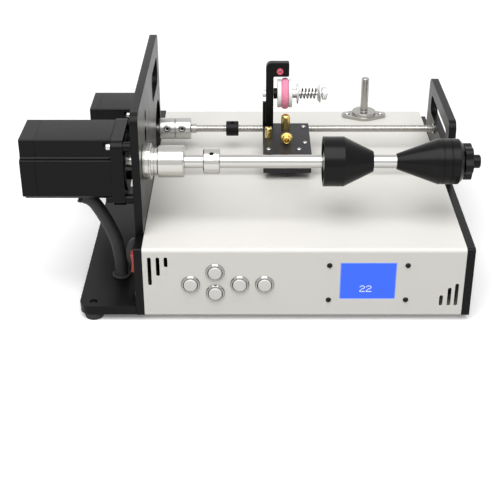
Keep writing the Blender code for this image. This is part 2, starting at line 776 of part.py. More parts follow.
def left_side_plate():
    """The tall left plate with its hand hole, motor opening and bolt holes."""
    outline = rounded([(0, PLATE_FLOOR, 0), (DEPTH, PLATE_FLOOR, 0), (DEPTH, HOUSING_TOP, 0),
                       (LEFT_REAR, HOUSING_TOP, 0), (LEFT_REAR, LEFT_TOP, PLATE_CORNER),
                       (LEFT_FRONT, LEFT_TOP, PLATE_CORNER), (LEFT_FRONT, HOUSING_TOP, 0),
                       (0, HOUSING_TOP, 0)])
    plate = slab(outline, "X", -PLATE, 0)
    low = -PLATE - OVERRUN
    hand = rectangle((HAND_HOLE_Y - HAND_HOLE_WIDTH / 2, HAND_HOLE_Z - HAND_HOLE_HEIGHT / 2),
                     (HAND_HOLE_Y + HAND_HOLE_WIDTH / 2, HAND_HOLE_Z + HAND_HOLE_HEIGHT / 2),
                     HAND_HOLE_CORNER)
    cuts = [slab(hand, "X", low, OVERRUN)]
    rounds = [(SCREW_Y, SCREW_Z, ROUND_OPENING), (*SMALL_HOLE,), (*LARGE_HOLE,),
              (SPINDLE_Y, SPINDLE_Z, BEARING_SPIGOT_RADIUS)]
    bores = [rod((low, y, z), (OVERRUN, y, z), radius, FINE) for y, z, radius in rounds]
    for y, z in motor_bolt_places():
        bores.append(rod((low, y, z), (OVERRUN, y, z), BOLT_SHANK + FIT, SMALL))
    for y in side_screw_ys():
        bores.append(rod((low, y, SIDE_SCREW_Z), (OVERRUN, y, SIDE_SCREW_Z), SCREW_SHANK + FIT, SMALL))
    for y in BASE_SCREW_Y:
        z = base_screw_z()
        bores.append(rod((low, y, z), (OVERRUN, y, z), SCREW_SHANK + FIT, SMALL))
    bores.append(rod((-ROD_SEAT, ROD_Y, ROD_Z), (OVERRUN, ROD_Y, ROD_Z), GUIDE_ROD_RADIUS + FIT, COARSE))
    half = SWITCH_WIDTH / 2 - SWITCH_NECK_INSET + FIT
    bores.append(block((low, SWITCH_Y - half, SWITCH_BOTTOM + SWITCH_NECK_INSET - FIT),
                       (OVERRUN, SWITCH_Y + half, SWITCH_TOP - SWITCH_NECK_INSET + FIT)))
    node("left_side_plate", "black_metal", [plate], cuts=cuts + [group(bores)])


def right_side_plate():
    """The right plate with its raised handle."""
    outline = rounded([(0, PLATE_FLOOR, 0), (DEPTH, PLATE_FLOOR, 0), (DEPTH, RIGHT_REAR_TOP, 0),
                       (RIGHT_FOOT, RIGHT_REAR_TOP, 0), (RIGHT_REAR, RIGHT_TOP, HANDLE_CORNER),
                       (RIGHT_FRONT, RIGHT_TOP, HANDLE_CORNER), (RIGHT_FRONT, HOUSING_TOP, 0),
                       (0, HOUSING_TOP, 0)])
    plate = slab(outline, "X", SPAN, SPAN + PLATE)
    high = SPAN + PLATE + OVERRUN
    low = SPAN - OVERRUN
    finger = slab(rectangle(FINGER_LOW, FINGER_HIGH, FINGER_CORNER), "X", low, high)
    bores = [rod((low, SCREW_Y, SCREW_Z), (high, SCREW_Y, SCREW_Z), BUSH_RADIUS + FIT, COARSE),
             rod((low, ROD_Y, ROD_Z), (SPAN + ROD_SEAT, ROD_Y, ROD_Z), GUIDE_ROD_RADIUS + FIT, COARSE)]
    for y in side_screw_ys():
        bores.append(rod((low, y, SIDE_SCREW_Z), (high, y, SIDE_SCREW_Z), SCREW_SHANK + FIT, SMALL))
    node("right_side_plate", "black_metal", [plate], cuts=[finger, group(bores)])


def motor_base_plate():
    """Thick plate under the motors, fixed to the left plate."""
    top = FOOT_TOP + BASE_THICKNESS
    right = -PLATE - FIT
    outline = rounded([(-BASE_REACH, 0, BASE_CORNER), (right, 0, 0), (right, BASE_DEPTH, 0),
                       (-BASE_REACH, BASE_DEPTH, BASE_CORNER)])
    plate = slab(outline, "Z", FOOT_TOP, top)
    holes = [rod((x, y, FOOT_TOP - OVERRUN), (x, y, top + OVERRUN), SCREW_SHANK + FIT, SMALL)
             for x, y in base_foot_places()]
    holes += [rod((x, y, top - SCREW_HEAD_HEIGHT), (x, y, top + OVERRUN), SCREW_HEAD + FIT, COARSE)
              for x, y in base_foot_places()]
    bores = [rod((CABLE_X, SPINDLE_Y, FOOT_TOP - OVERRUN), (CABLE_X, SPINDLE_Y, top + OVERRUN),
                 GROMMET_NECK + FIT)]
    for y in BASE_SCREW_Y:
        z = base_screw_z()
        bores.append(rod((right - BASE_SCREW_BITE, y, z), (right + OVERRUN, y, z), SCREW_SHANK + FIT, SMALL))
    feet = len(base_foot_places())
    node("motor_base_plate", "black_metal", [plate],
         cuts=[group(holes[:feet]), group(holes[feet:]), group(bores)])


def rubber_feet():
    """Four round feet, each its own piece, with a hole for its screw."""
    top = FOOT_TOP - FIT
    hole = SCREW_SHANK + FIT
    profile = [(0, top - FOOT_SCREW_DEPTH), (hole, top - FOOT_SCREW_DEPTH), (hole, top), (FOOT_RADIUS, top),
               (FOOT_RADIUS - FOOT_TAPER, 0), (0, 0)]
    for index, (x, y) in enumerate(housing_foot_places() + base_foot_places()):
        node("rubber_foot_" + str(index + 1), "rubber", [turned(profile, (x, y, 0), SIDE_Z)])


def motor_front_flange(name, y, z):
    """A motor's square front flange with its pilot, four spacers and four socket-head bolts."""
    half = FLANGE_SIDE / 2
    flange = slab(rectangle((y - half, z - half), (y + half, z + half), FLANGE_CORNER), "X", BODY_FACE, FLANGE_FACE)
    lap = FLANGE_FACE - OVERRUN
    pilot = rod((lap, y, z), (FLANGE_FACE + PILOT_HEIGHT, y, z), PILOT_RADIUS, FINE)
    shaft_bore = rod((BODY_FACE - OVERRUN, y, z), (FLANGE_FACE + PILOT_HEIGHT + OVERRUN, y, z), MOTOR_SHAFT + FIT)
    fasteners = []
    sockets = []
    for dy, dz in bolt_offsets():
        profile = [(0, 0), (BOLT_SHANK, 0), (BOLT_SHANK, -PLATE - FIT), (SPACER_RADIUS, -PLATE - FIT),
                   (SPACER_RADIUS, lap), (0, lap)]
        fasteners.append(turned(profile, (0, y + dy, z + dz), SIDE_X, SMALL))
        head = BODY_FACE - BOLT_HEAD_HEIGHT
        fasteners.append(rod((head, y + dy, z + dz), (BODY_FACE + OVERRUN, y + dy, z + dz), BOLT_HEAD, SMALL))
        sockets.append(rod((head - OVERRUN, y + dy, z + dz), (head + BOLT_SOCKET_DEPTH, y + dy, z + dz),
                           BOLT_SOCKET, 6))
    node(name, "black_metal", [flange], joins=[group([pilot] + fasteners)], cuts=[shaft_bore, group(sockets)])


def notched_outline(y, z):
    """A motor's square section with a notch at each corner for its bolt."""
    far = MOTOR_SIDE / 2
    near = far - MOTOR_NOTCH
    corner = ((far, -near), (far, near), (near, near), (near, far), (-near, far), (-near, near),
              (-far, near), (-far, -near), (-near, -near), (-near, -far), (near, -far), (near, -near))
    points = []
    for dy, dz in corner:
        points.append((y + dy, z + dz, MOTOR_CORNER))
    return rounded(points, CORNER_STEPS - 1)


def motor_body(name, y, z, length, joins=()):
    """A motor's body, open through the middle for its rotor."""
    front = BODY_FACE - FIT
    bore = circle(y, z, ROTOR_RADIUS + ROTOR_CLEARANCE, MEDIUM)
    body = slab(notched_outline(y, z), "X", front - length + FIT, front, holes=[bore])
    node(name, "black_metal", [body], joins=joins)


def outlet_direction():
    """Where the spindle motor's cable outlet points."""
    return Vector((math.cos(OUTLET_SLOPE), 0, -math.sin(OUTLET_SLOPE)))


def spindle_motor_body():
    """The long motor with the cable outlet under it."""
    end = Vector((OUTLET_X, SPINDLE_Y, OUTLET_Z))
    stub = rod(end - outlet_direction() * OUTLET_LENGTH, end, OUTLET_RADIUS)
    motor_body("spindle_motor_body", SPINDLE_Y, SPINDLE_Z, SPINDLE_MOTOR_LENGTH, [stub])


def motor_rear_cap(name, y, z, length, cap):
    """A motor's rear cover with a seat for the rotor's end."""
    front = BODY_FACE - length - FIT
    shell = slab(notched_outline(y, z), "X", front - cap, front)
    seat = rod((front - JOURNAL_LENGTH - FIT, y, z), (front + OVERRUN, y, z), MOTOR_JOURNAL + FIT, COARSE)
    node(name, "black_metal", [shell], cuts=[seat])


def spindle_bearing_housing():
    """Flanged bearing housing on the left plate's inner face."""
    bore = MOTOR_SHAFT + FIT
    spigot = BEARING_SPIGOT_RADIUS - FIT
    profile = [(BEARING_NOSE_RADIUS, BEARING_NOSE), (BEARING_NOSE_RADIUS, BEARING_FLANGE),
               (BEARING_FLANGE_RADIUS, BEARING_FLANGE), (BEARING_FLANGE_RADIUS, FIT), (spigot, FIT),
               (spigot, -PLATE), (bore, -PLATE), (bore, BEARING_NOSE)]
    node("spindle_bearing_housing", "steel",
         [turned(profile, (0, SPINDLE_Y, SPINDLE_Z), SIDE_X, FINE, ring=True)])


def rotor(name, y, z, body_length, shaft_end):
    """A motor's rotor with its shaft and rear journal."""
    rear = BODY_FACE - body_length
    front_face = BODY_FACE - FIT - ROTOR_END_SPACE
    rear_face = rear + ROTOR_END_SPACE
    profile = [(0, shaft_end), (MOTOR_SHAFT, shaft_end), (MOTOR_SHAFT, front_face), (ROTOR_RADIUS, front_face),
               (ROTOR_RADIUS, rear_face), (MOTOR_JOURNAL, rear_face), (MOTOR_JOURNAL, rear - JOURNAL_LENGTH),
               (0, rear - JOURNAL_LENGTH)]
    node(name, "steel", [turned(profile, (0, y, z), SIDE_X)], pivot=(0, y, z))


def spindle_coupling():
    """Clamp sleeve that joins the motor's shaft to the spindle."""
    small = MOTOR_SHAFT + FIT
    large = SPINDLE_RADIUS + FIT
    radius = SPINDLE_COUPLING_RADIUS
    profile = [(radius, SPINDLE_COUPLING_END), (radius, SPINDLE_COUPLING_START), (small, SPINDLE_COUPLING_START),
               (small, SPINDLE_JOIN), (large, SPINDLE_JOIN), (large, SPINDLE_COUPLING_END)]
    middle = (SPINDLE_JOIN + SPINDLE_COUPLING_END) / 2
    node("spindle_coupling", "steel", [turned(profile, (0, SPINDLE_Y, SPINDLE_Z), SIDE_X, FINE, ring=True)],
         cuts=[radial_hole(middle, SPINDLE_Y, SPINDLE_Z, radius, large, COLLAR_HOLE)],
         pivot=(middle, SPINDLE_Y, SPINDLE_Z))


def radial_hole(x, y, z, radius, depth_radius, hole):
    """A cutter for a set screw's hole that faces the viewer."""
    centre = Vector((x, y, z))
    return rod(centre + TOWARD_VIEW * (depth_radius - FIT), centre + TOWARD_VIEW * (radius + OVERRUN), hole, SMALL)


def spindle_shaft():
    """The bright spindle, with the short end past the knob."""
    start = SPINDLE_JOIN + FIT
    inner = SPINDLE_RADIUS - SPINDLE_CHAMFER
    profile = [(0, SPINDLE_END), (inner, SPINDLE_END), (SPINDLE_RADIUS, SPINDLE_END - SPINDLE_CHAMFER),
               (SPINDLE_RADIUS, start), (0, start)]
    node("spindle_shaft", "chrome", [turned(profile, (0, SPINDLE_Y, SPINDLE_Z), SIDE_X)],
         pivot=(start, SPINDLE_Y, SPINDLE_Z))


def spindle_stop_collar():
    """Collar that stops the left cone."""
    bore = SPINDLE_RADIUS + FIT
    profile = ring_profile(COLLAR_RADIUS, bore, COLLAR_START, COLLAR_END, SPINDLE_CHAMFER)
    middle = (COLLAR_START + COLLAR_END) / 2
    node("spindle_stop_collar", "steel", [turned(profile, (0, SPINDLE_Y, SPINDLE_Z), SIDE_X, ring=True)],
         cuts=[radial_hole(middle, SPINDLE_Y, SPINDLE_Z, COLLAR_RADIUS, bore, COLLAR_HOLE)],
         pivot=(middle, SPINDLE_Y, SPINDLE_Z))


def left_cone():
    """Left spool cone with its hollow rear face."""
    bore = SPINDLE_RADIUS + FIT
    floor = LEFT_CONE_START + LEFT_CONE_RECESS
    rim = LEFT_CONE_RADIUS - LEFT_CONE_RIM
    hub_end = LEFT_CONE_START + CONE_HUB_PROUD
    profile = [(LEFT_CONE_TIP_RADIUS, LEFT_CONE_TIP), (LEFT_CONE_RADIUS, LEFT_CONE_SHOULDER),
               (LEFT_CONE_RADIUS, LEFT_CONE_START), (rim, LEFT_CONE_START), (rim, floor),
               (CONE_HUB_RADIUS, floor), (CONE_HUB_RADIUS, hub_end), (bore, hub_end), (bore, LEFT_CONE_TIP)]
    node("left_cone", "grey_metal", [turned(profile, (0, SPINDLE_Y, SPINDLE_Z), SIDE_X, FINE, ring=True)],
         pivot=(LEFT_CONE_START, SPINDLE_Y, SPINDLE_Z))


def right_cone():
    """Right spool cone with two grooves behind its taper."""
    bore = SPINDLE_RADIUS + FIT
    radius = RIGHT_CONE_RADIUS
    profile = [(RIGHT_CONE_END_RADIUS, RIGHT_CONE_END), (radius, RIGHT_CONE_END - RIGHT_CONE_CHAMFER)]
    for place in reversed(BAND_PLACES):
        profile += [(radius, place + BAND_WIDTH), (radius - BAND_DEPTH, place + BAND_WIDTH),
                    (radius - BAND_DEPTH, place), (radius, place)]
    profile += [(radius, RIGHT_CONE_SHOULDER), (RIGHT_CONE_TIP_RADIUS, RIGHT_CONE_TIP),
                (bore, RIGHT_CONE_TIP), (bore, RIGHT_CONE_END)]
    node("right_cone", "grey_metal", [turned(profile, (0, SPINDLE_Y, SPINDLE_Z), SIDE_X, FINE, ring=True)],
         pivot=(RIGHT_CONE_TIP, SPINDLE_Y, SPINDLE_Z))


def clamp_knob():
    """Lobed nut that pushes the right cone along the spindle."""
    outline = []
    points = KNOB_LOBES * 8
    for index in range(points):
        angle = math.tau * index / points
        radius = KNOB_RADIUS + KNOB_LOBE * math.cos(KNOB_LOBES * angle)
        outline.append((SPINDLE_Y + radius * math.cos(angle), SPINDLE_Z + radius * math.sin(angle)))
    lobes = slab(outline, "X", KNOB_START, KNOB_END)
    hub_start = RIGHT_CONE_END + FIT
    hub = rod((hub_start, SPINDLE_Y, SPINDLE_Z), (KNOB_START + OVERRUN, SPINDLE_Y, SPINDLE_Z), KNOB_HUB_RADIUS)
    bore = rod((hub_start - OVERRUN, SPINDLE_Y, SPINDLE_Z), (KNOB_END + OVERRUN, SPINDLE_Y, SPINDLE_Z),
               SPINDLE_RADIUS + FIT)
    node("clamp_knob", "grey_metal", [lobes], joins=[hub], cuts=[bore], pivot=(KNOB_START, SPINDLE_Y, SPINDLE_Z))


def lead_screw():
    """Lead screw with a shoulder at the coupling and a journal at its far end."""
    body_end = SPAN - FIT - BUSH_FLANGE - FIT
    end = SPAN + PLATE - OVERRUN
    start = TRAVERSE_JOIN + FIT
    shoulder = TRAVERSE_COUPLING_END + FIT
    radius = LEAD_SCREW_RADIUS
    profile = [(0, end), (LEAD_JOURNAL_RADIUS, end), (LEAD_JOURNAL_RADIUS, body_end), (radius, body_end),
               (radius, LEAD_SHOULDER_END), (LEAD_SHOULDER_RADIUS, LEAD_SHOULDER_END),
               (LEAD_SHOULDER_RADIUS, shoulder), (radius, shoulder), (radius, start), (0, start)]
    node("lead_screw", "steel", [turned(profile, (0, SCREW_Y, SCREW_Z), SIDE_X)],
         pivot=(start, SCREW_Y, SCREW_Z))


def traverse_coupling_half(name, low, high, bore, screw_x):
    """One half of the rigid coupling, with its set screw's hole."""
    radius = TRAVERSE_COUPLING_RADIUS
    profile = ring_profile(radius, bore, low, high, SPINDLE_CHAMFER)
    hole = radial_hole(screw_x, SCREW_Y, SCREW_Z, radius, bore - FIT, SET_SCREW_RADIUS)
    node(name, "aluminium", [turned(profile, (0, SCREW_Y, SCREW_Z), SIDE_X, ring=True)], cuts=[hole],
         pivot=(low, SCREW_Y, SCREW_Z))


def screw_stop_collar():
    """Collar that stops the carriage at its left end."""
    bore = LEAD_SCREW_RADIUS + FIT
    profile = ring_profile(SCREW_COLLAR_RADIUS, bore, SCREW_COLLAR_START, SCREW_COLLAR_END, SPINDLE_CHAMFER)
    middle = (SCREW_COLLAR_START + SCREW_COLLAR_END) / 2
    node("screw_stop_collar", "black_metal", [turned(profile, (0, SCREW_Y, SCREW_Z), SIDE_X, ring=True)],
         cuts=[radial_hole(middle, SCREW_Y, SCREW_Z, SCREW_COLLAR_RADIUS, bore, COLLAR_HOLE)],
         pivot=(middle, SCREW_Y, SCREW_Z))


def lead_screw_bearing():
    """Flanged bush in the right plate."""
    bore = LEAD_JOURNAL_RADIUS + FIT
    seat = SPAN - FIT
    profile = [(BUSH_RADIUS, SPAN + PLATE), (BUSH_RADIUS, seat), (BUSH_FLANGE_RADIUS, seat),
               (BUSH_FLANGE_RADIUS, seat - BUSH_FLANGE), (bore, seat - BUSH_FLANGE), (bore, SPAN + PLATE)]
    node("lead_screw_bearing", "brass", [turned(profile, (0, SCREW_Y, SCREW_Z), SIDE_X, ring=True)])


def guide_rod():
    """Rod that keeps the carriage from turning."""
    start = -ROD_SEAT + FIT
    end = SPAN + ROD_SEAT - FIT
    node("guide_rod", "chrome", [rod((start, ROD_Y, ROD_Z), (end, ROD_Y, ROD_Z), GUIDE_ROD_RADIUS)])


def carriage_point(offset):
    """A place along X measured from the carriage's left face."""
    return CARRIAGE_LEFT + offset


def carriage_block():
    """The block that the lead screw drives, with a round boss under its front."""
    outline = [(CARRIAGE_FRONT, CARRIAGE_BOTTOM), (CARRIAGE_REAR, CARRIAGE_BOTTOM),
               (CARRIAGE_REAR, CARRIAGE_REAR_TOP), (CARRIAGE_FLAT_REAR, CARRIAGE_TOP),
               (CARRIAGE_FRONT, CARRIAGE_TOP)]
    left = CARRIAGE_LEFT
    right = carriage_point(CARRIAGE_WIDTH)
    body = slab(outline, "X", left, right)
    middle = (left + right) / 2
    boss = rod((middle, CARRIAGE_BOSS_Y, CARRIAGE_BOTTOM - CARRIAGE_BOSS_DROP),
               (middle, CARRIAGE_BOSS_Y, CARRIAGE_BOTTOM + OVERRUN), CARRIAGE_BOSS_RADIUS)
    bores = [rod((left - OVERRUN, SCREW_Y, SCREW_Z), (right + OVERRUN, SCREW_Y, SCREW_Z), LEAD_NUT_RADIUS + FIT),
             rod((left - OVERRUN, ROD_Y, ROD_Z), (right + OVERRUN, ROD_Y, ROD_Z), BUSHING_RADIUS + FIT)]
    x = carriage_point(THUMB_X)
    bores.append(rod((x, THUMB_Y, CARRIAGE_TOP - THUMB_STUD_LENGTH - FIT), (x, THUMB_Y, CARRIAGE_TOP + OVERRUN),
                     THUMB_STUD_RADIUS + FIT, SMALL))
    node("carriage_block", "black_metal", [body], joins=[boss], cuts=[group(bores)],
         pivot=(left, SCREW_Y, SCREW_Z))


def carriage_lead_nut():
    """Long nut on the lead screw."""
    low = CARRIAGE_LEFT - NUT_PROUD
    high = carriage_point(CARRIAGE_WIDTH + NUT_PROUD)
    profile = ring_profile(LEAD_NUT_RADIUS, LEAD_SCREW_RADIUS + FIT, low, high)
    node("carriage_lead_nut", "brass", [turned(profile, (0, SCREW_Y, SCREW_Z), SIDE_X, ring=True)],
         pivot=(CARRIAGE_LEFT, SCREW_Y, SCREW_Z))


def carriage_bushing():
    """Plain bushing on the guide rod."""
    profile = ring_profile(BUSHING_RADIUS, GUIDE_ROD_RADIUS + FIT, CARRIAGE_LEFT, carriage_point(CARRIAGE_WIDTH))
    node("carriage_bushing", "brass", [turned(profile, (0, ROD_Y, ROD_Z), SIDE_X, ring=True)],
         pivot=(CARRIAGE_LEFT, ROD_Y, ROD_Z))


def line_bracket():
    """Upright bar with an arm at its top and a thin strip beside its foot."""
    left = carriage_point(BRACKET_BAR)
    right = left + BRACKET_BAR_WIDTH
    foot = CARRIAGE_TOP + FIT
    tip = carriage_point(BRACKET_ARM_REACH)
    outline = rounded([(left, foot, 0), (right, foot, 0), (right, BRACKET_ARM_BOTTOM, 0),
                       (tip, BRACKET_ARM_BOTTOM, ARM_CORNER), (tip, BRACKET_TOP, ARM_CORNER),
                       (left, BRACKET_TOP, BRACKET_CORNER)])
    bar = slab(outline, "Y", BRACKET_FRONT, BRACKET_REAR)
    strip = block((left - BRACKET_STRIP_WIDTH, BRACKET_FRONT + OVERRUN, foot),
                  (left + OVERRUN, BRACKET_REAR - OVERRUN, BRACKET_STRIP_TOP))
    eye = rod((carriage_point(TOP_EYELET_X), BRACKET_FRONT - OVERRUN, TOP_EYELET_Z),
              (carriage_point(TOP_EYELET_X), BRACKET_REAR + OVERRUN, TOP_EYELET_Z), TOP_EYELET_RADIUS + FIT)
    stud = rod((left - OVERRUN, TENSION_Y, TENSION_Z), (right + OVERRUN, TENSION_Y, TENSION_Z),
               STUD_RADIUS + FIT, COARSE)
    node("line_bracket", "black_metal", [bar], joins=[strip], cuts=[group([eye, stud])],
         pivot=(left, TENSION_Y, foot))


def top_line_eyelet():
    """Ceramic eyelet through the bracket's arm."""
    low = -(BRACKET_REAR - BRACKET_FRONT) - FIT
    profile = [(TOP_EYELET_BORE + FIT, TOP_EYELET_PROUD), (TOP_EYELET_FLANGE, TOP_EYELET_PROUD / 2),
               (TOP_EYELET_FLANGE, FIT), (TOP_EYELET_RADIUS, FIT), (TOP_EYELET_RADIUS, low),
               (TOP_EYELET_BORE, low), (TOP_EYELET_BORE, FIT)]
    place = (carriage_point(TOP_EYELET_X), BRACKET_FRONT, TOP_EYELET_Z)
    node("top_line_eyelet", "red_ceramic", [turned(profile, place, -SIDE_Y, COARSE, ring=True)], pivot=place)


def line_guide_barrel():
    """Round-topped brass guide behind the eyelet."""
    foot = CARRIAGE_TOP + FIT
    profile = [(0, BARREL_TOP), (BARREL_RADIUS - BARREL_CROWN, BARREL_TOP),
               (BARREL_RADIUS, BARREL_TOP - BARREL_CROWN), (BARREL_RADIUS, foot), (0, foot)]
    place = (carriage_point(BARREL_X), BARREL_Y, 0)
    node("line_guide_barrel", "brass", [turned(profile, place, SIDE_Z)],
         pivot=(carriage_point(BARREL_X), BARREL_Y, foot))


def brass_thumb_screw():
    """Small brass screw that a finger turns."""
    foot = CARRIAGE_TOP + FIT
    profile = [(0, THUMB_TOP), (THUMB_RADIUS - THUMB_CROWN, THUMB_TOP), (THUMB_RADIUS, THUMB_TOP - THUMB_CROWN),
               (THUMB_RADIUS, foot), (THUMB_STUD_RADIUS, foot), (THUMB_STUD_RADIUS, foot - THUMB_STUD_LENGTH),
               (0, foot - THUMB_STUD_LENGTH)]
    place = (carriage_point(THUMB_X), THUMB_Y, 0)
    node("brass_thumb_screw", "brass", [turned(profile, place, SIDE_Z, COARSE)],
         pivot=(carriage_point(THUMB_X), THUMB_Y, foot))


def brass_line_eyelet():
    """Brass post with a cross hole for the line."""
    foot = CARRIAGE_TOP + FIT
    shelf = foot + GUIDE_BASE_HEIGHT
    profile = [(0, GUIDE_TOP), (GUIDE_STEM_RADIUS - GUIDE_CROWN, GUIDE_TOP),
               (GUIDE_STEM_RADIUS, GUIDE_TOP - GUIDE_CROWN), (GUIDE_STEM_RADIUS, shelf),
               (GUIDE_BASE_RADIUS, shelf), (GUIDE_BASE_RADIUS, foot), (0, foot)]
    x = carriage_point(GUIDE_X)
    hole = rod((x, GUIDE_Y - GUIDE_BASE_RADIUS, GUIDE_HOLE_Z), (x, GUIDE_Y + GUIDE_BASE_RADIUS, GUIDE_HOLE_Z),
               GUIDE_HOLE, COARSE)
    node("brass_line_eyelet", "brass", [turned(profile, (x, GUIDE_Y, 0), SIDE_Z)], cuts=[hole],
         pivot=(x, GUIDE_Y, foot))


def tension_origin():
    """The tensioner's axis where X is measured from the carriage's left face."""
    return (CARRIAGE_LEFT, TENSION_Y, TENSION_Z)


def tension_stud():
    """Headed stud through the bracket, with its spacer shoulder."""
    head_face = BRACKET_BAR - FIT
    head_start = head_face - STUD_HEAD_LENGTH
    shoulder = BRACKET_BAR + BRACKET_BAR_WIDTH + FIT
    profile = [(0, STUD_END), (STUD_RADIUS, STUD_END), (STUD_RADIUS, SPACER_END),
               (TENSION_SPACER_RADIUS, SPACER_END), (TENSION_SPACER_RADIUS, shoulder), (STUD_RADIUS, shoulder),
               (STUD_RADIUS, head_face), (STUD_HEAD_RADIUS, head_face), (STUD_HEAD_RADIUS, head_start),
               (0, head_start)]
    node("tension_stud", "steel", [turned(profile, tension_origin(), SIDE_X, COARSE)], pivot=tension_origin())


def tension_wheel():
    """Two white flanges on one hub."""
    bore = STUD_RADIUS + FIT
    profile = [(WHEEL_RADIUS, WHEEL_END), (WHEEL_RADIUS, WHEEL_FELT_END), (WHEEL_HUB_RADIUS, WHEEL_FELT_END),
               (WHEEL_HUB_RADIUS, WHEEL_FELT_START), (WHEEL_RADIUS, WHEEL_FELT_START),
               (WHEEL_RADIUS, WHEEL_START), (bore, WHEEL_START), (bore, WHEEL_END)]
    node("tension_wheel", "white_plastic", [turned(profile, tension_origin(), SIDE_X, FINE, ring=True)],
         pivot=tension_origin())


def tension_felt():
    """Pink felt ring between the flanges."""
    profile = ring_profile(FELT_RADIUS, WHEEL_HUB_RADIUS + FIT, WHEEL_FELT_START + FIT,
                           WHEEL_FELT_END - FIT, FELT_EDGE)
    node("tension_felt", "pink_felt", [turned(profile, tension_origin(), SIDE_X, FINE, ring=True)],
         pivot=tension_origin())


def tension_pressure_disc():
    """Washer and thin dished disc in one piece."""
    bore = STUD_RADIUS + FIT
    start = WHEEL_END + FIT
    back = DISC_END - DISC_THICKNESS
    profile = [(DISC_FLAT_RADIUS, DISC_END), (DISC_RADIUS, DISC_RIM + DISC_THICKNESS), (DISC_RADIUS, DISC_RIM),
               (DISC_FLAT_RADIUS, back), (WASHER_RADIUS, back), (WASHER_RADIUS, start), (bore, start),
               (bore, DISC_END)]
    node("tension_pressure_disc", "steel", [turned(profile, tension_origin(), SIDE_X, ring=True)],
         pivot=tension_origin())


def spring_points():
    """Centre line of the coil spring, ten points a curl."""
    start = DISC_END + FIT + SPRING_WIRE
    end = SPRING_END - FIT - SPRING_WIRE
    steps = SPRING_CURLS * 10
    points = []
    for step in range(steps + 1):
        angle = math.tau * SPRING_CURLS * step / steps
        points.append(Vector((CARRIAGE_LEFT + start + (end - start) * step / steps,
                              TENSION_Y + SPRING_RADIUS * math.cos(angle),
                              TENSION_Z + SPRING_RADIUS * math.sin(angle))))
    return points


def least_gap(points, wire, curl):
    """Least space between one curl and the next, measured on the points."""
    distances = [(points[index] - points[other]).length for index in range(len(points))
                 for other in range(index + curl // 2, len(points))]
    return min(distances) - 2 * wire


def tension_spring():
    """Helical spring between the disc and the cone washer."""
    points = spring_points()
    print("tension_spring least gap between curls, metres:", round(least_gap(points, SPRING_WIRE, 10), 5))
    node("tension_spring", "steel", [tube(points, SPRING_WIRE, 1)], pivot=tension_origin())


def tension_cone_washer():
    """Dished washer behind the nut."""
    bore = STUD_RADIUS + FIT
    face = SPRING_END + CONE_WASHER_THICKNESS
    profile = [(CONE_WASHER_FLAT, face), (CONE_WASHER_RADIUS, CONE_WASHER_END),
               (CONE_WASHER_RADIUS, CONE_WASHER_END - CONE_WASHER_THICKNESS), (CONE_WASHER_FLAT, SPRING_END),
               (bore, SPRING_END), (bore, NUT_START - FIT), (STUD_HEAD_RADIUS, NUT_START - FIT),
               (STUD_HEAD_RADIUS, face)]
    node("tension_cone_washer", "steel", [turned(profile, tension_origin(), SIDE_X, ring=True)],
         pivot=tension_origin())


def tension_nut():
    """Knurled nut that loads the spring."""
    profile = ring_profile(NUT_RADIUS, STUD_RADIUS + FIT, NUT_START, NUT_END, NUT_CHAMFER)
    node("tension_nut", "aluminium", [turned(profile, tension_origin(), SIDE_X, ring=True)],
         pivot=tension_origin())


def oval_outline():
    """Two-bolt flange: the hull of one large and two small circles."""
    small = POST_FLANGE_REACH - POST_BOLT_PITCH
    large = POST_FLANGE_RADIUS
    tangent = math.acos((large - small) / POST_BOLT_PITCH)
    points = []
    arcs = ((POST_X + POST_BOLT_PITCH, small, -tangent, tangent),
            (POST_X, large, tangent, math.pi - tangent),
            (POST_X - POST_BOLT_PITCH, small, math.pi - tangent, math.pi + tangent),
            (POST_X, large, math.pi + tangent, math.tau - tangent))
    for centre, radius, start, end in arcs:
        for step in range(CORNER_STEPS + 3):
            angle = start + (end - start) * (step + 0.5) / (CORNER_STEPS + 3)
            points.append((centre + radius * math.cos(angle), POST_Y + radius * math.sin(angle)))
    return points


def supply_post():
    """Upright rod for the supply spool, on its flange and hub, with its two bolts."""
    foot = HOUSING_TOP + FIT
    flange = slab(oval_outline(), "Z", foot, foot + POST_FLANGE_HEIGHT)
    lap = foot + POST_FLANGE_HEIGHT / 2
    profile = [(0, POST_TOP), (POST_ROD_RADIUS - POST_CHAMFER, POST_TOP), (POST_ROD_RADIUS, POST_TOP - POST_CHAMFER),
               (POST_ROD_RADIUS, foot + POST_HUB_HEIGHT), (POST_HUB_RADIUS, foot + POST_HUB_HEIGHT),
               (POST_HUB_RADIUS, lap), (0, lap)]
    bolts = [screw((x, POST_Y, foot + POST_FLANGE_HEIGHT), SIDE_Z, SCREW_HEAD, SCREW_HEAD_HEIGHT, SCREW_SHANK,
                   POST_FLANGE_HEIGHT + POST_BOLT_BITE) for x in post_bolt_places()]
    node("supply_post", "steel", [flange], joins=[turned(profile, (POST_X, POST_Y, 0), SIDE_Z), group(bolts)])


def display_window():
    """Clear window in the front panel's cutout."""
    node("display_window", "screen", [block((WINDOW_LEFT, FIT, WINDOW_BOTTOM),
                                            (WINDOW_RIGHT, WINDOW_THICKNESS, WINDOW_TOP))])


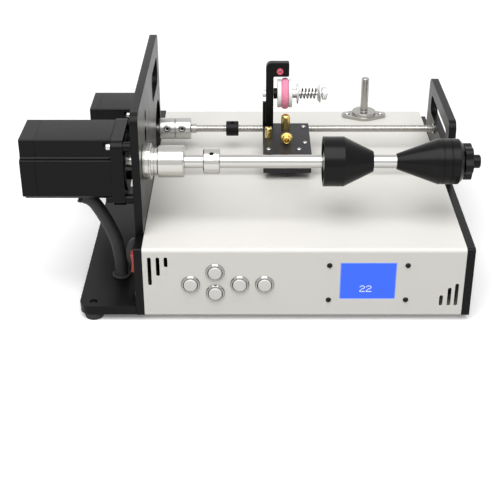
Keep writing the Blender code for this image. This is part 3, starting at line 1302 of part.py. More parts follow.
def display_module():
    """Screen glass on its circuit board, behind the window."""
    glass_back = WINDOW_THICKNESS + FIT + MODULE_THICKNESS
    glass = block((WINDOW_LEFT - MODULE_MARGIN, WINDOW_THICKNESS + FIT, WINDOW_BOTTOM - MODULE_MARGIN),
                  (WINDOW_RIGHT + MODULE_MARGIN, glass_back, WINDOW_TOP + MODULE_MARGIN))
    board = block((WINDOW_LEFT - MODULE_SIDE_MARGIN, glass_back - BOARD_THICKNESS / 2, WINDOW_BOTTOM - MODULE_MARGIN),
                  (WINDOW_RIGHT + MODULE_SIDE_MARGIN, glass_back + BOARD_THICKNESS, WINDOW_TOP + MODULE_MARGIN))
    holes = [rod((x, 0, z), (x, glass_back + BOARD_THICKNESS + OVERRUN, z), DISPLAY_SCREW_SHANK + FIT, SMALL)
             for x, z in display_screw_places()]
    node("display_module", "circuit_green", [glass], joins=[board], cuts=[group(holes)])


def button_caps():
    """Five caps, each its own piece."""
    back = -BEZEL_LENGTH + BUTTON_TRAVEL
    profile = [(0, BUTTON_PROUD), (BUTTON_RADIUS - BUTTON_EDGE, BUTTON_PROUD),
               (BUTTON_RADIUS, BUTTON_PROUD - BUTTON_EDGE), (BUTTON_RADIUS, back), (0, back)]
    for index, (x, z) in enumerate(BUTTONS):
        name = "button_cap_" + str(index + 1)
        node(name, "white_plastic", [turned(profile, (x, 0, z), -SIDE_Y)], pivot=(x, 0, z))


def switch_middle():
    """Height of the rocker's axis."""
    return (SWITCH_BOTTOM + SWITCH_TOP) / 2


def power_switch_body():
    """Switch housing through the left plate, with a curved guard behind the rocker."""
    face = -PLATE - FIT
    front = SWITCH_Y - SWITCH_WIDTH / 2
    rear = SWITCH_Y + SWITCH_WIDTH / 2
    body = block((face - SWITCH_PROUD, front, SWITCH_BOTTOM), (face, rear, SWITCH_TOP))
    inset = SWITCH_NECK_INSET
    neck = block((face - SWITCH_PROUD / 2, front + inset, SWITCH_BOTTOM + inset),
                 (face + SWITCH_NECK_LENGTH, rear - inset, SWITCH_TOP - inset))
    middle = (SWITCH_BOTTOM + GUARD_TOP) / 2
    half = (GUARD_TOP - SWITCH_BOTTOM) / 2
    outline = []
    for index in range(GUARD_POINTS + 1):
        angle = math.pi * index / GUARD_POINTS
        outline.append((face - GUARD_PROUD * math.sin(angle), middle + half * math.cos(angle)))
    guard = slab(outline, "Y", rear - GUARD_THICKNESS, rear)
    half_width = ROCKER_WIDTH / 2 + FIT
    pocket = block((face - SWITCH_PROUD - OVERRUN, SWITCH_Y - half_width, SWITCH_BOTTOM + ROCKER_WALL),
                   (face + SWITCH_PROUD, SWITCH_Y + half_width, SWITCH_TOP - ROCKER_WALL))
    node("power_switch_body", "dark_plastic", [body], joins=[neck, guard], cuts=[pocket])


def power_switch_rocker():
    """Red rocker, dished between its two ends."""
    face = -PLATE - FIT
    middle = switch_middle()
    half = (SWITCH_TOP - SWITCH_BOTTOM) / 2 - ROCKER_WALL - 2 * FIT
    tip = half - math.tan(ROCKER_SWING) * ROCKER_PROUD
    axis_x = face - ROCKER_PROUD / 4
    outline = [(face, middle - tip / 2), (axis_x, middle - tip), (face - ROCKER_PROUD, middle - tip),
               (face - ROCKER_PROUD + ROCKER_DISH, middle), (face - ROCKER_PROUD, middle + tip),
               (axis_x, middle + tip), (face, middle + tip / 2)]
    body = slab(outline, "Y", SWITCH_Y - ROCKER_WIDTH / 2, SWITCH_Y + ROCKER_WIDTH / 2)
    node("power_switch_rocker", "red_plastic", [body], pivot=(axis_x, SWITCH_Y, middle))


def cable_grommet():
    """Rubber grommet in the base plate."""
    top = FOOT_TOP + BASE_THICKNESS
    bore = SLEEVE_RADIUS + FIT
    profile = [(GROMMET_FLANGE, top + GROMMET_HEIGHT), (GROMMET_FLANGE, top + FIT), (GROMMET_NECK, top + FIT),
               (GROMMET_NECK, top - GROMMET_SUNK), (bore, top - GROMMET_SUNK), (bore, top + GROMMET_HEIGHT)]
    node("cable_grommet", "rubber", [turned(profile, (CABLE_X, SPINDLE_Y, 0), SIDE_Z, ring=True)])


def smooth_path(controls, step):
    """Points about one step apart on a smooth curve through the controls."""
    ends = [controls[0] * 2 - controls[1]] + list(controls) + [controls[-1] * 2 - controls[-2]]
    path = []
    for index in range(1, len(ends) - 2):
        before, start, end, after = ends[index - 1:index + 3]
        count = max(1, round((end - start).length / step))
        for part in range(count):
            share = part / count
            path.append((start * 2 + (end - before) * share
                         + (before * 2 - start * 5 + end * 4 - after) * share ** 2
                         + (start * 3 - before - end * 3 + after) * share ** 3) / 2)
    path.append(controls[-1])
    return path


def cable_sleeve():
    """Sleeved motor cable from the outlet down into the grommet."""
    direction = outlet_direction()
    start = Vector((OUTLET_X, SPINDLE_Y, OUTLET_Z)) + direction * FIT
    end = Vector((CABLE_X, SPINDLE_Y, FOOT_TOP + BASE_THICKNESS - SLEEVE_SUNK))
    controls = [start, start + direction * SLEEVE_RADIUS]
    controls += [Vector((x, SPINDLE_Y, z)) for x, z in SLEEVE_ROUTE]
    controls.append(end)
    path = [controls[0]] + smooth_path(controls[1:], SLEEVE_STEP)
    node("cable_sleeve", "dark_plastic", [tube(path, SLEEVE_RADIUS, SLEEVE_SIDES_RESOLUTION)])


def control_board():
    """Circuit board on four standoffs, with its larger chips."""
    foot = TRAY_TOP + FIT
    top = foot + STANDOFF_HEIGHT
    board = block((*CONTROL_LOW, top), (*CONTROL_HIGH, top + BOARD_THICKNESS))
    inset = CONTROL_SCREW_INSET
    spots = [(x, y) for x in (CONTROL_LOW[0] + inset, CONTROL_HIGH[0] - inset)
             for y in (CONTROL_LOW[1] + inset, CONTROL_HIGH[1] - inset)]
    joins = [rod((x, y, foot), (x, y, top + BOARD_THICKNESS / 2), STANDOFF_RADIUS, SMALL) for x, y in spots]
    width = CONTROL_HIGH[0] - CONTROL_LOW[0]
    depth = CONTROL_HIGH[1] - CONTROL_LOW[1]
    for left, front, right, rear in CHIP_SHARES:
        joins.append(block((CONTROL_LOW[0] + width * left, CONTROL_LOW[1] + depth * front, top + BOARD_THICKNESS / 2),
                           (CONTROL_LOW[0] + width * right, CONTROL_LOW[1] + depth * rear, top + CHIP_HEIGHT)))
    node("control_board", "circuit_green", [board], joins=[group(joins)])


def power_supply():
    """Boxed supply with cooling slots in its top."""
    foot = TRAY_TOP + FIT
    box = block((*SUPPLY_LOW, foot), (*SUPPLY_HIGH, foot + SUPPLY_HEIGHT))
    slots = []
    run = SUPPLY_HIGH[0] - SUPPLY_LOW[0] - 2 * SUPPLY_SLOT_MARGIN
    for index in range(SUPPLY_SLOTS):
        x = SUPPLY_LOW[0] + SUPPLY_SLOT_MARGIN + run * index / (SUPPLY_SLOTS - 1)
        slots.append(block((x - SUPPLY_SLOT_WIDTH / 2, SUPPLY_LOW[1] + SUPPLY_SLOT_MARGIN,
                            foot + SUPPLY_HEIGHT - SUPPLY_SLOT_DEPTH),
                           (x + SUPPLY_SLOT_WIDTH / 2, SUPPLY_HIGH[1] - SUPPLY_SLOT_MARGIN,
                            foot + SUPPLY_HEIGHT + OVERRUN)))
    node("power_supply", "aluminium", [box], cuts=[group(slots)])


def power_inlet():
    """Mains inlet in the rear panel, with three pins."""
    half_width = INLET_WIDTH / 2
    half_height = INLET_HEIGHT / 2
    face = HOUSING_REAR + FIT
    body = block((INLET_X - half_width, face - INLET_LENGTH, INLET_Z - half_height),
                 (INLET_X + half_width, face + INLET_FACE / 2, INLET_Z + half_height))
    margin = INLET_FACE_MARGIN
    flange = block((INLET_X - half_width - margin, face, INLET_Z - half_height - margin / 2),
                   (INLET_X + half_width + margin, face + INLET_FACE, INLET_Z + half_height + margin / 2))
    wall = INLET_SOCKET_MARGIN
    floor = face + INLET_FACE - INLET_SOCKET_DEPTH
    socket = block((INLET_X - half_width + wall, floor, INLET_Z - half_height + wall),
                   (INLET_X + half_width - wall, face + INLET_FACE + OVERRUN, INLET_Z + half_height - wall))
    pins = []
    for offset, rise in ((-INLET_PIN_PITCH, -INLET_PIN_RISE), (0, INLET_PIN_RISE), (INLET_PIN_PITCH, -INLET_PIN_RISE)):
        pins.append(rod((INLET_X + offset, floor - OVERRUN, INLET_Z + rise),
                        (INLET_X + offset, face + INLET_FACE - OVERRUN, INLET_Z + rise), INLET_PIN, SMALL))
    inlet = node("power_inlet", "dark_plastic", [body], joins=[flange], cuts=[socket])
    join_last(inlet, group(pins))


def join_last(obj, mesh):
    """Join one more shape after the cuts."""
    tool = bpy.data.objects.new(obj.name + "_tool", mesh)
    tool.parent = ROOT
    tool.hide_render = True
    tool.display_type = "WIRE"
    CUTTERS.objects.link(tool)
    modifier = obj.modifiers.new("union", "BOOLEAN")
    modifier.operation = "UNION"
    modifier.solver = "EXACT"
    modifier.object = tool


def build_frame():
    """Housing, plates, feet and fasteners."""
    housing_cover()
    chassis_tray()
    left_side_plate()
    right_side_plate()
    motor_base_plate()
    rubber_feet()
    supply_post()


def build_motors():
    """Both motors, their mounting and the spindle motor's cable."""
    motor_front_flange("spindle_motor_flange", SPINDLE_Y, SPINDLE_Z)
    motor_front_flange("traverse_motor_flange", SCREW_Y, SCREW_Z)
    spindle_motor_body()
    motor_body("traverse_motor_body", SCREW_Y, SCREW_Z, TRAVERSE_MOTOR_LENGTH)
    motor_rear_cap("spindle_motor_cap", SPINDLE_Y, SPINDLE_Z, SPINDLE_MOTOR_LENGTH, SPINDLE_CAP_LENGTH)
    motor_rear_cap("traverse_motor_cap", SCREW_Y, SCREW_Z, TRAVERSE_MOTOR_LENGTH, TRAVERSE_CAP_LENGTH)
    rotor("spindle_motor_rotor", SPINDLE_Y, SPINDLE_Z, SPINDLE_MOTOR_LENGTH, SPINDLE_JOIN - FIT)
    rotor("traverse_motor_rotor", SCREW_Y, SCREW_Z, TRAVERSE_MOTOR_LENGTH, TRAVERSE_JOIN - FIT)
    cable_sleeve()
    cable_grommet()


def build_spindle():
    """Everything on the spindle's axis."""
    spindle_bearing_housing()
    spindle_coupling()
    spindle_shaft()
    spindle_stop_collar()
    left_cone()
    right_cone()
    clamp_knob()


def build_traverse():
    """Lead screw, guide rod and carriage."""
    lead_screw()
    motor_place, screw_place = SET_SCREW_PLACES
    traverse_coupling_half("traverse_coupling_motor_half", TRAVERSE_COUPLING_START, TRAVERSE_JOIN - FIT / 2,
                           MOTOR_SHAFT + FIT, motor_place)
    traverse_coupling_half("traverse_coupling_screw_half", TRAVERSE_JOIN + FIT / 2, TRAVERSE_COUPLING_END,
                           LEAD_SCREW_RADIUS + FIT, screw_place)
    screw_stop_collar()
    lead_screw_bearing()
    guide_rod()
    carriage_block()
    carriage_lead_nut()
    carriage_bushing()


def build_line_guides():
    """Bracket, eyelets and tensioner on the carriage."""
    line_bracket()
    top_line_eyelet()
    line_guide_barrel()
    brass_thumb_screw()
    brass_line_eyelet()
    tension_stud()
    tension_wheel()
    tension_felt()
    tension_pressure_disc()
    tension_spring()
    tension_cone_washer()
    tension_nut()


def build_controls():
    """Front panel, power switch and electronics."""
    display_window()
    display_module()
    button_caps()
    power_switch_body()
    power_switch_rocker()
    control_board()
    power_supply()
    power_inlet()


build_frame()
build_motors()
build_spindle()
build_traverse()
build_line_guides()
build_controls()
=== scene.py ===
"""Looks of the fishing line spooling machine: its dressed pieces, finishes, light and camera.

Sizes are millimetres in the machine's own frame, whose zero is the inner face of the left side
plate, the front face of the housing and the floor. Workshop.add turns them into metres in the row
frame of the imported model.
"""
from __future__ import annotations

import json
import logging
import math
from collections.abc import Callable, Iterable, Sequence
from dataclasses import dataclass
from enum import Enum
from typing import Any

import bmesh
import bpy
from mathutils import Matrix, Vector

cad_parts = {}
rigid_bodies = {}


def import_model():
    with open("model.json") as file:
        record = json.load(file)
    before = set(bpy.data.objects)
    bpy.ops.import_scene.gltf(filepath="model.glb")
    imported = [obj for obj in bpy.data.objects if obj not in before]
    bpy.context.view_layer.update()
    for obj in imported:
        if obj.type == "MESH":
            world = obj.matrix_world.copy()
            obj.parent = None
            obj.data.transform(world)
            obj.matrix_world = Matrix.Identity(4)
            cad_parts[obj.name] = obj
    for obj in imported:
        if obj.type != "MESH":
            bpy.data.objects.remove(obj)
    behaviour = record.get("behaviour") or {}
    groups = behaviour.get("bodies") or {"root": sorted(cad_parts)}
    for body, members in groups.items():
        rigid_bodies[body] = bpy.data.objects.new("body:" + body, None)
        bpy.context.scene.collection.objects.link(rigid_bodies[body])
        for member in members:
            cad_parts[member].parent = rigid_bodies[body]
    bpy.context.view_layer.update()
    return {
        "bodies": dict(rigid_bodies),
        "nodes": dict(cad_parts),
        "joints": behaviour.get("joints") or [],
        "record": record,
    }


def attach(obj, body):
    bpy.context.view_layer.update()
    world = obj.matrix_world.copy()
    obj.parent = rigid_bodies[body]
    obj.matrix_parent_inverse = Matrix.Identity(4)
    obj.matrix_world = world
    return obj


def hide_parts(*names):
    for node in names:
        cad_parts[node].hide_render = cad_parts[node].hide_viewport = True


Mesh = bpy.types.Mesh
Spot = tuple[float, float]
Spots = tuple[Spot, ...]
Point = tuple[float, float, float]
Colour = tuple[float, float, float]
Corner = tuple[float, float, float]
Ring = tuple[float, float, float]
Dome = tuple[float, float, float, float]
Outline = list[Spot]
Profile = Sequence[Corner]

SHIFT = Vector((-137.05, -224.5, 0.0))
TO_METRES = Matrix.Scale(0.001, 4) @ Matrix.Translation(SHIFT)
TO_MACHINE = TO_METRES.inverted()
MERGE = 0.0005

SPAN = 400.0
PLATE = 10.0
HOUSING_TOP = 103.0
WINDOW_LOW = (245.5, 32.3)
WINDOW_HIGH = (314.2, 83.6)
SPINDLE_LINE = (79.0, 185.0)
SCREW_LINE = (305.0, 134.4)
STUD_LINE = (298.0, 191.1)
GUIDE_LINE = (214.0, 124.1)
BARREL_PLACE = (183.6, 284.0)
THUMB_PLACE = (158.7, 250.0)
NOZZLE_X = 183.5
POST_PLACE = (309.7, 427.0)
CABLE_OUTLET = (-78.5, SPINDLE_LINE[0], 136.4)
CABLE_SLOPE = math.radians(23)

SIDE_X = Vector((1, 0, 0))
SIDE_Y = Vector((0, 1, 0))
SIDE_Z = Vector((0, 0, 1))
SMOOTH_ANGLE = math.radians(32)
BREAK_ANGLE = math.radians(30)

log = logging.getLogger("scene")


class Axis(Enum):
    """The direction that a flat outline is thickened along, or that a piece was turned about."""

    X = "X"
    Y = "Y"
    Z = "Z"


class Head(Enum):
    """The kinds of screw head."""

    CAP = "cap"
    BUTTON = "button"
    GRUB = "grub"


# Node graphs


def paired(operation: str) -> tuple[Callable[..., Wire], Callable[..., Wire]]:
    """An operator's two methods, as written and reflected, which add a Math node."""
    return (lambda self, other: self.combined(operation, self, other),
            lambda self, other: self.combined(operation, other, self))


class Wire:
    """An output socket that takes part in arithmetic."""

    __add__, __radd__ = paired("ADD")
    __sub__, __rsub__ = paired("SUBTRACT")
    __mul__, __rmul__ = paired("MULTIPLY")
    __truediv__, __rtruediv__ = paired("DIVIDE")
    __pow__, __rpow__ = paired("POWER")

    def __init__(self, graph: Graph, socket: bpy.types.NodeSocket) -> None:
        """Keep the socket and the graph that it belongs to."""
        self.graph = graph
        self.socket = socket

    def combined(self, operation: str, first: Value, second: Value = 0.0) -> Wire:
        """A Math node on two values."""
        return self.graph.node("ShaderNodeMath", {"operation": operation}, {0: first, 1: second})

    def above(self, limit: Value) -> Wire:
        """One where the value is over the limit, else zero."""
        return self.combined("GREATER_THAN", self, limit)

    def size(self) -> Wire:
        """The value without its sign."""
        return self.combined("ABSOLUTE", self)

    def wave(self, length: float) -> Wire:
        """The value's sine, one wave for each length."""
        return self.combined("SINE", self * (math.tau / length))

    def folded(self, length: float) -> Wire:
        """The value folded back and forth over a length."""
        return self.combined("PINGPONG", self, length)

    def or_else(self, other: Value) -> Wire:
        """The larger of two values."""
        return self.combined("MAXIMUM", self, other)


Value = Wire | float | int | Sequence[float] | object


class Graph:
    """A node tree that is written as expressions."""

    def __init__(self, tree: bpy.types.NodeTree) -> None:
        """Keep the tree that nodes go into."""
        self.tree = tree

    def node(self, kind: str, settings: dict[str, Any] | None = None,
             inputs: dict[int | str, Value] | None = None, output: int | str = 0) -> Wire:
        """Add one node.

        Args:
            kind: the node's type name.
            settings: its own properties, set before its sockets; "stops" fills a colour ramp.
            inputs: values or wires for its input sockets, by index or name.
            output: the output socket that is returned.

        Returns:
            The chosen output as a wire.
        """
        made = self.tree.nodes.new(kind)
        for key, value in (settings or {}).items():
            if key == "stops":
                self.set_stops(made, value)
            else:
                setattr(made, key, value)
        for key, value in (inputs or {}).items():
            if isinstance(value, Wire):
                self.tree.links.new(value.socket, made.inputs[key])
            else:
                made.inputs[key].default_value = value
        return Wire(self, made.outputs[output]) if len(made.outputs) else Wire(self, made.inputs[0])

    @staticmethod
    def set_stops(ramp: bpy.types.Node, stops: Sequence[tuple[float, Colour]]) -> None:
        """Replace a colour ramp's stops.

        Args:
            ramp: the ramp's node.
            stops: places and colours, in order.
        """
        elements = ramp.color_ramp.elements
        while len(elements) > 1:
            elements.remove(elements[-1])
        elements[0].position = stops[0][0]
        elements[0].color = (*stops[0][1], 1)
        for place, colour in stops[1:]:
            elements.new(place).color = (*colour, 1)


class Surface(Graph):
    """A material's graph, with the nodes that most finishes use."""

    def __init__(self, name: str) -> None:
        """Make an empty material of that name.

        Args:
            name: the material's name.
        """
        self.material = bpy.data.materials.new(name)
        self.material.use_nodes = True
        self.material.node_tree.nodes.clear()
        super().__init__(self.material.node_tree)

    def place(self) -> Wire:
        """Object coordinates, which are the row frame's."""
        return self.node("ShaderNodeTexCoord", output="Object")

    def along(self, axis: Axis) -> Wire:
        """One object coordinate."""
        return self.node("ShaderNodeSeparateXYZ", None, {0: self.place()}, "XYZ".index(axis.value))

    def noise(self, scale: float, detail: float = 2.0, rough: float = 0.5) -> Wire:
        """Noise in all directions, about 0.5 on average."""
        inputs = {"Vector": self.place(), "Scale": scale, "Detail": detail, "Roughness": rough}
        return self.node("ShaderNodeTexNoise", None, inputs)

    def lines(self, place: Wire, scale: float, detail: float = 3.0) -> Wire:
        """Noise along one value."""
        return self.node("ShaderNodeTexNoise", {"noise_dimensions": "1D"},
                         {"W": place, "Scale": scale, "Detail": detail, "Roughness": 0.6})

    def stretched(self, scale: Point) -> Wire:
        """Object coordinates stretched along the axes."""
        return self.node("ShaderNodeMapping", None, {"Vector": self.place(), "Scale": scale})

    def blend(self, factor: Value, first: Value, second: Value) -> Wire:
        """A mix of two colours."""
        fill = [value if isinstance(value, Wire) else (*value, 1) for value in (first, second)]
        return self.node("ShaderNodeMix", {"data_type": "RGBA"}, {0: factor, 6: fill[0], 7: fill[1]}, 2)

    def varied(self, factor: Wire, colour: Colour, spread: float) -> Wire:
        """A colour that runs from a little darker to a little lighter."""
        return self.blend(factor, scaled(colour, 1 - spread), scaled(colour, 1 + spread))

    def bump(self, height: Wire, strength: float, distance: float) -> Wire:
        """A normal from a height."""
        return self.node("ShaderNodeBump", None,
                         {"Strength": strength, "Distance": distance, "Height": height})

    def close(self, **inputs: Value) -> bpy.types.Material:
        """End in a Principled shader.

        Args:
            inputs: its sockets, with underscores for spaces.

        Returns:
            The finished material.
        """
        named = {key.replace("_", " "): value for key, value in inputs.items()}
        for key in ("Base Color", "Emission Color"):
            if key in named and not isinstance(named[key], Wire):
                named[key] = (*named[key], 1)
        shader = self.node("ShaderNodeBsdfPrincipled", None, named)
        self.node("ShaderNodeOutputMaterial", None, {"Surface": shader})
        return self.material


# Finishes


def scaled(colour: Colour, share: float) -> Colour:
    """A lighter or darker form of a colour."""
    return tuple(min(1.0, part * share) for part in colour)


@dataclass(frozen=True)
class Finish:
    """What every finish has: its own name and the record's material slot."""

    name: str
    slot: str

    def make(self) -> bpy.types.Material:
        """The finish as a material."""
        raise NotImplementedError


@dataclass(frozen=True)
class Paint(Finish):
    """Sprayed or powder coat, with a fine peel and faint clouds."""

    colour: Colour
    roughness: float
    metallic: float = 0.0
    peel: float = 0.0007
    relief: float = 0.10
    clouds: float = 0.03
    specular: float = 0.5
    cloud_scale: float = 22.0
    mottle: float = 0.12
    grit: float = 0.10
    depth: float = 0.0002

    def make(self) -> bpy.types.Material:
        """The coat as a material.

        Returns:
            The material.
        """
        graph = Surface(self.name)
        cloud = graph.noise(self.cloud_scale, 4.0)
        speck = graph.noise(1.0 / self.peel)
        rough = self.roughness + (cloud - 0.5) * self.mottle + (speck - 0.5) * self.grit
        return graph.close(Base_Color=graph.varied(cloud, self.colour, self.clouds), Roughness=rough,
                           Metallic=self.metallic, Specular_IOR_Level=self.specular,
                           Normal=graph.bump(speck, self.relief, self.depth))


@dataclass(frozen=True)
class Turned(Finish):
    """Metal turned in a lathe: fine rings about an axis through a centre in the machine's frame."""

    colour: Colour
    roughness: float
    axis: Axis = Axis.X
    centre: Spot = (0.0, 0.0)
    metallic: float = 1.0
    spread: float = 0.12
    relief: float = 0.05
    stains: float = 0.04
    specular: float = 0.5
    fine: float = 5200.0
    coarse: float = 420.0
    coarse_share: float = 0.2
    stain_scale: float = 60.0
    blotch: float = 0.06
    depth: float = 0.00006

    def make(self) -> bpy.types.Material:
        """The turned metal as a material.

        Returns:
            The material.
        """
        graph = Surface(self.name)
        others = [axis for axis in Axis if axis is not self.axis]
        shift = [SHIFT["XYZ".index(axis.value)] for axis in others]
        offsets = [(graph.along(axis) - (part + move) / 1000) for axis, part, move
                   in zip(others, self.centre, shift)]
        radial = (offsets[0] * offsets[0] + offsets[1] * offsets[1]) ** 0.5
        rings = graph.lines(graph.along(self.axis) + radial, self.fine)
        broad = graph.lines(graph.along(self.axis) + radial, self.coarse, 1.0)
        stain = graph.noise(self.stain_scale, 3.0)
        rough = self.roughness + (rings - 0.5) * self.spread + (stain - 0.5) * self.blotch
        normal = graph.bump(rings + broad * self.coarse_share, self.relief, self.depth)
        return graph.close(Base_Color=graph.varied(stain, self.colour, self.stains), Roughness=rough,
                           Metallic=self.metallic, Specular_IOR_Level=self.specular, Normal=normal)


@dataclass(frozen=True)
class Moulded(Finish):
    """Plastic or rubber from a mould."""

    colour: Colour
    roughness: float
    grain: float = 0.0005
    relief: float = 0.08
    tint: float = 0.05
    soft: float = 0.0
    soft_radius: Colour = (0.002, 0.001, 0.001)
    cloud_scale: float = 40.0
    grit: float = 0.14
    mottle: float = 0.08
    depth: float = 0.0001

    def make(self) -> bpy.types.Material:
        """The moulding as a material.

        Returns:
            The material.
        """
        graph = Surface(self.name)
        grain = graph.noise(1.0 / self.grain)
        cloud = graph.noise(self.cloud_scale, 3.0)
        rough = self.roughness + (grain - 0.5) * self.grit + (cloud - 0.5) * self.mottle
        return graph.close(Base_Color=graph.varied(cloud, self.colour, self.tint), Roughness=rough,
                           Subsurface_Weight=self.soft, Subsurface_Radius=self.soft_radius,
                           Normal=graph.bump(grain, self.relief, self.depth))


@dataclass(frozen=True)
class Braid(Finish):
    """A woven sleeve that follows the piece's own UV map, metres along and round it."""

    colour: Colour
    roughness: float
    strand: float = 0.0022

    def make(self) -> bpy.types.Material:
        """The sleeve as a material.

        Returns:
            The material.
        """
        graph = Surface(self.name)
        place = graph.node("ShaderNodeUVMap", {"uv_map": "UVMap"})
        parts = [graph.node("ShaderNodeSeparateXYZ", None, {0: place}, index) for index in (0, 1)]
        rising = graph.lines((parts[0] + parts[1]) / self.strand, 1.0, 0.0)
        weave = (parts[0] + parts[1]).wave(self.strand) * (parts[0] - parts[1]).wave(self.strand) * 0.5 + 0.5
        colour = graph.blend(weave, scaled(self.colour, 0.7), scaled(self.colour, 1.35))
        rough = self.roughness + (rising - 0.5) * 0.1
        return graph.close(Base_Color=colour, Roughness=rough, Normal=graph.bump(weave, 0.35, 0.0003))


@dataclass(frozen=True)
class Pressed(Finish):
    """Pressed felt or soft rubber: short fibres and clouds of a darker colour."""

    colour: Colour
    shade: Colour

    def make(self) -> bpy.types.Material:
        """The felt as a material.

        Returns:
            The material.
        """
        graph = Surface(self.name)
        fibre = graph.noise(2600.0, 5.0, 0.7)
        cloud = graph.noise(160.0, 4.0)
        colour = graph.blend(fibre * 0.6 + cloud * 0.4, self.shade, self.colour)
        return graph.close(Base_Color=colour, Roughness=0.72 + fibre * 0.18, Sheen_Weight=0.25,
                           Sheen_Roughness=0.5, Normal=graph.bump(fibre, 0.25, 0.0003))


@dataclass(frozen=True)
class Lit(Finish):
    """A backlit display with a pale rim, between two corners in the machine's frame."""

    colour: Colour
    rim: Colour
    low: Spot
    high: Spot
    rim_width: float = 0.6
    cell: float = 0.00024
    dot_gain: float = 900.0
    strength: float = 0.92

    def make(self) -> bpy.types.Material:
        """The display as a material.

        Returns:
            The material.
        """
        graph = Surface(self.name)
        middle = [(self.low[0] + self.high[0]) / 2 + SHIFT.x, (self.low[1] + self.high[1]) / 2]
        half = [(self.high[index] - self.low[index]) / 2 - self.rim_width for index in (0, 1)]
        across = (graph.along(Axis.X) - middle[0] / 1000).size().above(half[0] / 1000)
        upright = (graph.along(Axis.Z) - middle[1] / 1000).size().above(half[1] / 1000)
        edge = across.or_else(upright)
        dots = (graph.along(Axis.X).folded(self.cell) + graph.along(Axis.Z).folded(self.cell)) * self.dot_gain
        glow = graph.noise(18.0, 2.0)
        lit = graph.blend(glow * 0.7 + dots * 0.3, scaled(self.colour, 0.90), scaled(self.colour, 1.06))
        shown = graph.blend(edge, lit, self.rim)
        return graph.close(Base_Color=graph.blend(edge, scaled(self.colour, 0.25), self.rim), Roughness=0.12,
                           Emission_Color=shown, Emission_Strength=self.strength, Specular_IOR_Level=0.12)


@dataclass(frozen=True)
class Circuit(Finish):
    """A printed circuit board with faint tracks."""

    colour: Colour

    def make(self) -> bpy.types.Material:
        """The board as a material.

        Returns:
            The material.
        """
        graph = Surface(self.name)
        tracks = graph.node("ShaderNodeTexBrick", {"offset": 0.5, "squash": 1.0},
                            {"Vector": graph.stretched((1.0, 2.0, 1.0)), "Color1": (*self.colour, 1),
                             "Color2": (*scaled(self.colour, 1.5), 1),
                             "Mortar": (*scaled(self.colour, 2.2), 1),
                             "Scale": 160.0, "Mortar Size": 0.03})
        grain = graph.noise(900.0, 2.0)
        return graph.close(Base_Color=tracks, Roughness=0.38 + grain * 0.15,
                           Normal=graph.bump(grain, 0.1, 0.0001))


WHITE_COAT = Paint("white_coat", "white_paint", (0.735, 0.720, 0.678), 0.46, relief=0.05, clouds=0.012)
BLACK_COAT = Paint("black_coat", "black_metal", (0.004, 0.004, 0.004), 0.32, peel=0.0006, clouds=0.12,
                   specular=0.13)
MOTOR_COAT = Paint("motor_coat", "black_metal", (0.003, 0.003, 0.003), 0.24, peel=0.0005, relief=0.05,
                   clouds=0.12,
                   specular=0.13)
CARRIAGE_COAT = Paint("carriage_coat", "black_metal", (0.016, 0.015, 0.018), 0.44, peel=0.0005, relief=0.16,
                      clouds=0.15, specular=0.25)
STEEL = (0.50, 0.49, 0.465)
SPINDLE_STEEL = Turned("spindle_steel", "steel", STEEL, 0.20, Axis.X, SPINDLE_LINE)
SPINDLE_CHROME = Turned("spindle_chrome", "chrome", (0.50, 0.495, 0.48), 0.13, Axis.X, SPINDLE_LINE,
                        spread=0.05,
                        relief=0.02)
GUIDE_CHROME = Turned("guide_chrome", "chrome", (0.50, 0.495, 0.48), 0.14, Axis.X, GUIDE_LINE, spread=0.05,
                      relief=0.02)
DARK_ANODISED = Turned("dark_anodised", "grey_metal", (0.003, 0.003, 0.003), 0.26, Axis.X, SPINDLE_LINE,
                       metallic=0.0, spread=0.12, relief=0.06, stains=0.08, specular=0.15)
SCREW_STEEL = Turned("screw_steel", "steel", (0.40, 0.385, 0.36), 0.24, Axis.X, SCREW_LINE)
COUPLING_ALUMINIUM = Turned("coupling_aluminium", "aluminium", (0.52, 0.515, 0.50), 0.27, Axis.X, SCREW_LINE)
TENSION_STEEL = Turned("tension_steel", "steel", (0.80, 0.80, 0.79), 0.42, Axis.X, STUD_LINE)
TENSION_ALUMINIUM = Turned("tension_aluminium", "aluminium", (0.76, 0.76, 0.76), 0.40, Axis.X, STUD_LINE)
SPRING_STEEL = Turned("spring_steel", "steel", (0.055, 0.05, 0.047), 0.22, Axis.X, STUD_LINE)
POST_STEEL = Turned("post_steel", "steel", (0.42, 0.41, 0.39), 0.26, Axis.Z, POST_PLACE, relief=0.07)
BUTTON_CHROME = Turned("button_chrome", "chrome", (0.38, 0.375, 0.36), 0.12, Axis.Y, (90.0, 56.0),
                       spread=0.04,
                       relief=0.01)
SCREW_ZINC = Turned("screw_zinc", "steel", (0.55, 0.55, 0.54), 0.26, Axis.Z, (0.0, 0.0), spread=0.1)
BRASS = (0.86, 0.66, 0.22)
BARREL_BRASS = Turned("barrel_brass", "brass", BRASS, 0.22, Axis.Z, BARREL_PLACE)
THUMB_BRASS = Turned("thumb_brass", "brass", (0.88, 0.70, 0.28), 0.24, Axis.Z, THUMB_PLACE)
EYELET_BRASS = Turned("eyelet_brass", "brass", BRASS, 0.20, Axis.Y, (NOZZLE_X, 151.1))
NUT_BRASS = Turned("nut_brass", "brass", (0.66, 0.47, 0.17), 0.3, Axis.X, SCREW_LINE)
# Black oxide screws. At the traverse coupling this black also paints the shade inside the set screws' holes.
DARK_SCREW = Paint("dark_screw", "black_metal", (0.004, 0.004, 0.004), 0.5, clouds=0.2, specular=0.25)
RUBBER = Moulded("foot_rubber", "rubber", (0.018, 0.018, 0.018), 0.78, relief=0.3, tint=0.2)
DARK_PLASTIC = Moulded("dark_plastic", "dark_plastic", (0.022, 0.022, 0.024), 0.42, tint=0.12)
SLEEVE = Braid("cable_sleeve", "dark_plastic", (0.026, 0.026, 0.028), 0.60)
ROCKER_RED = Moulded("rocker_red", "red_plastic", (0.56, 0.085, 0.06), 0.34)
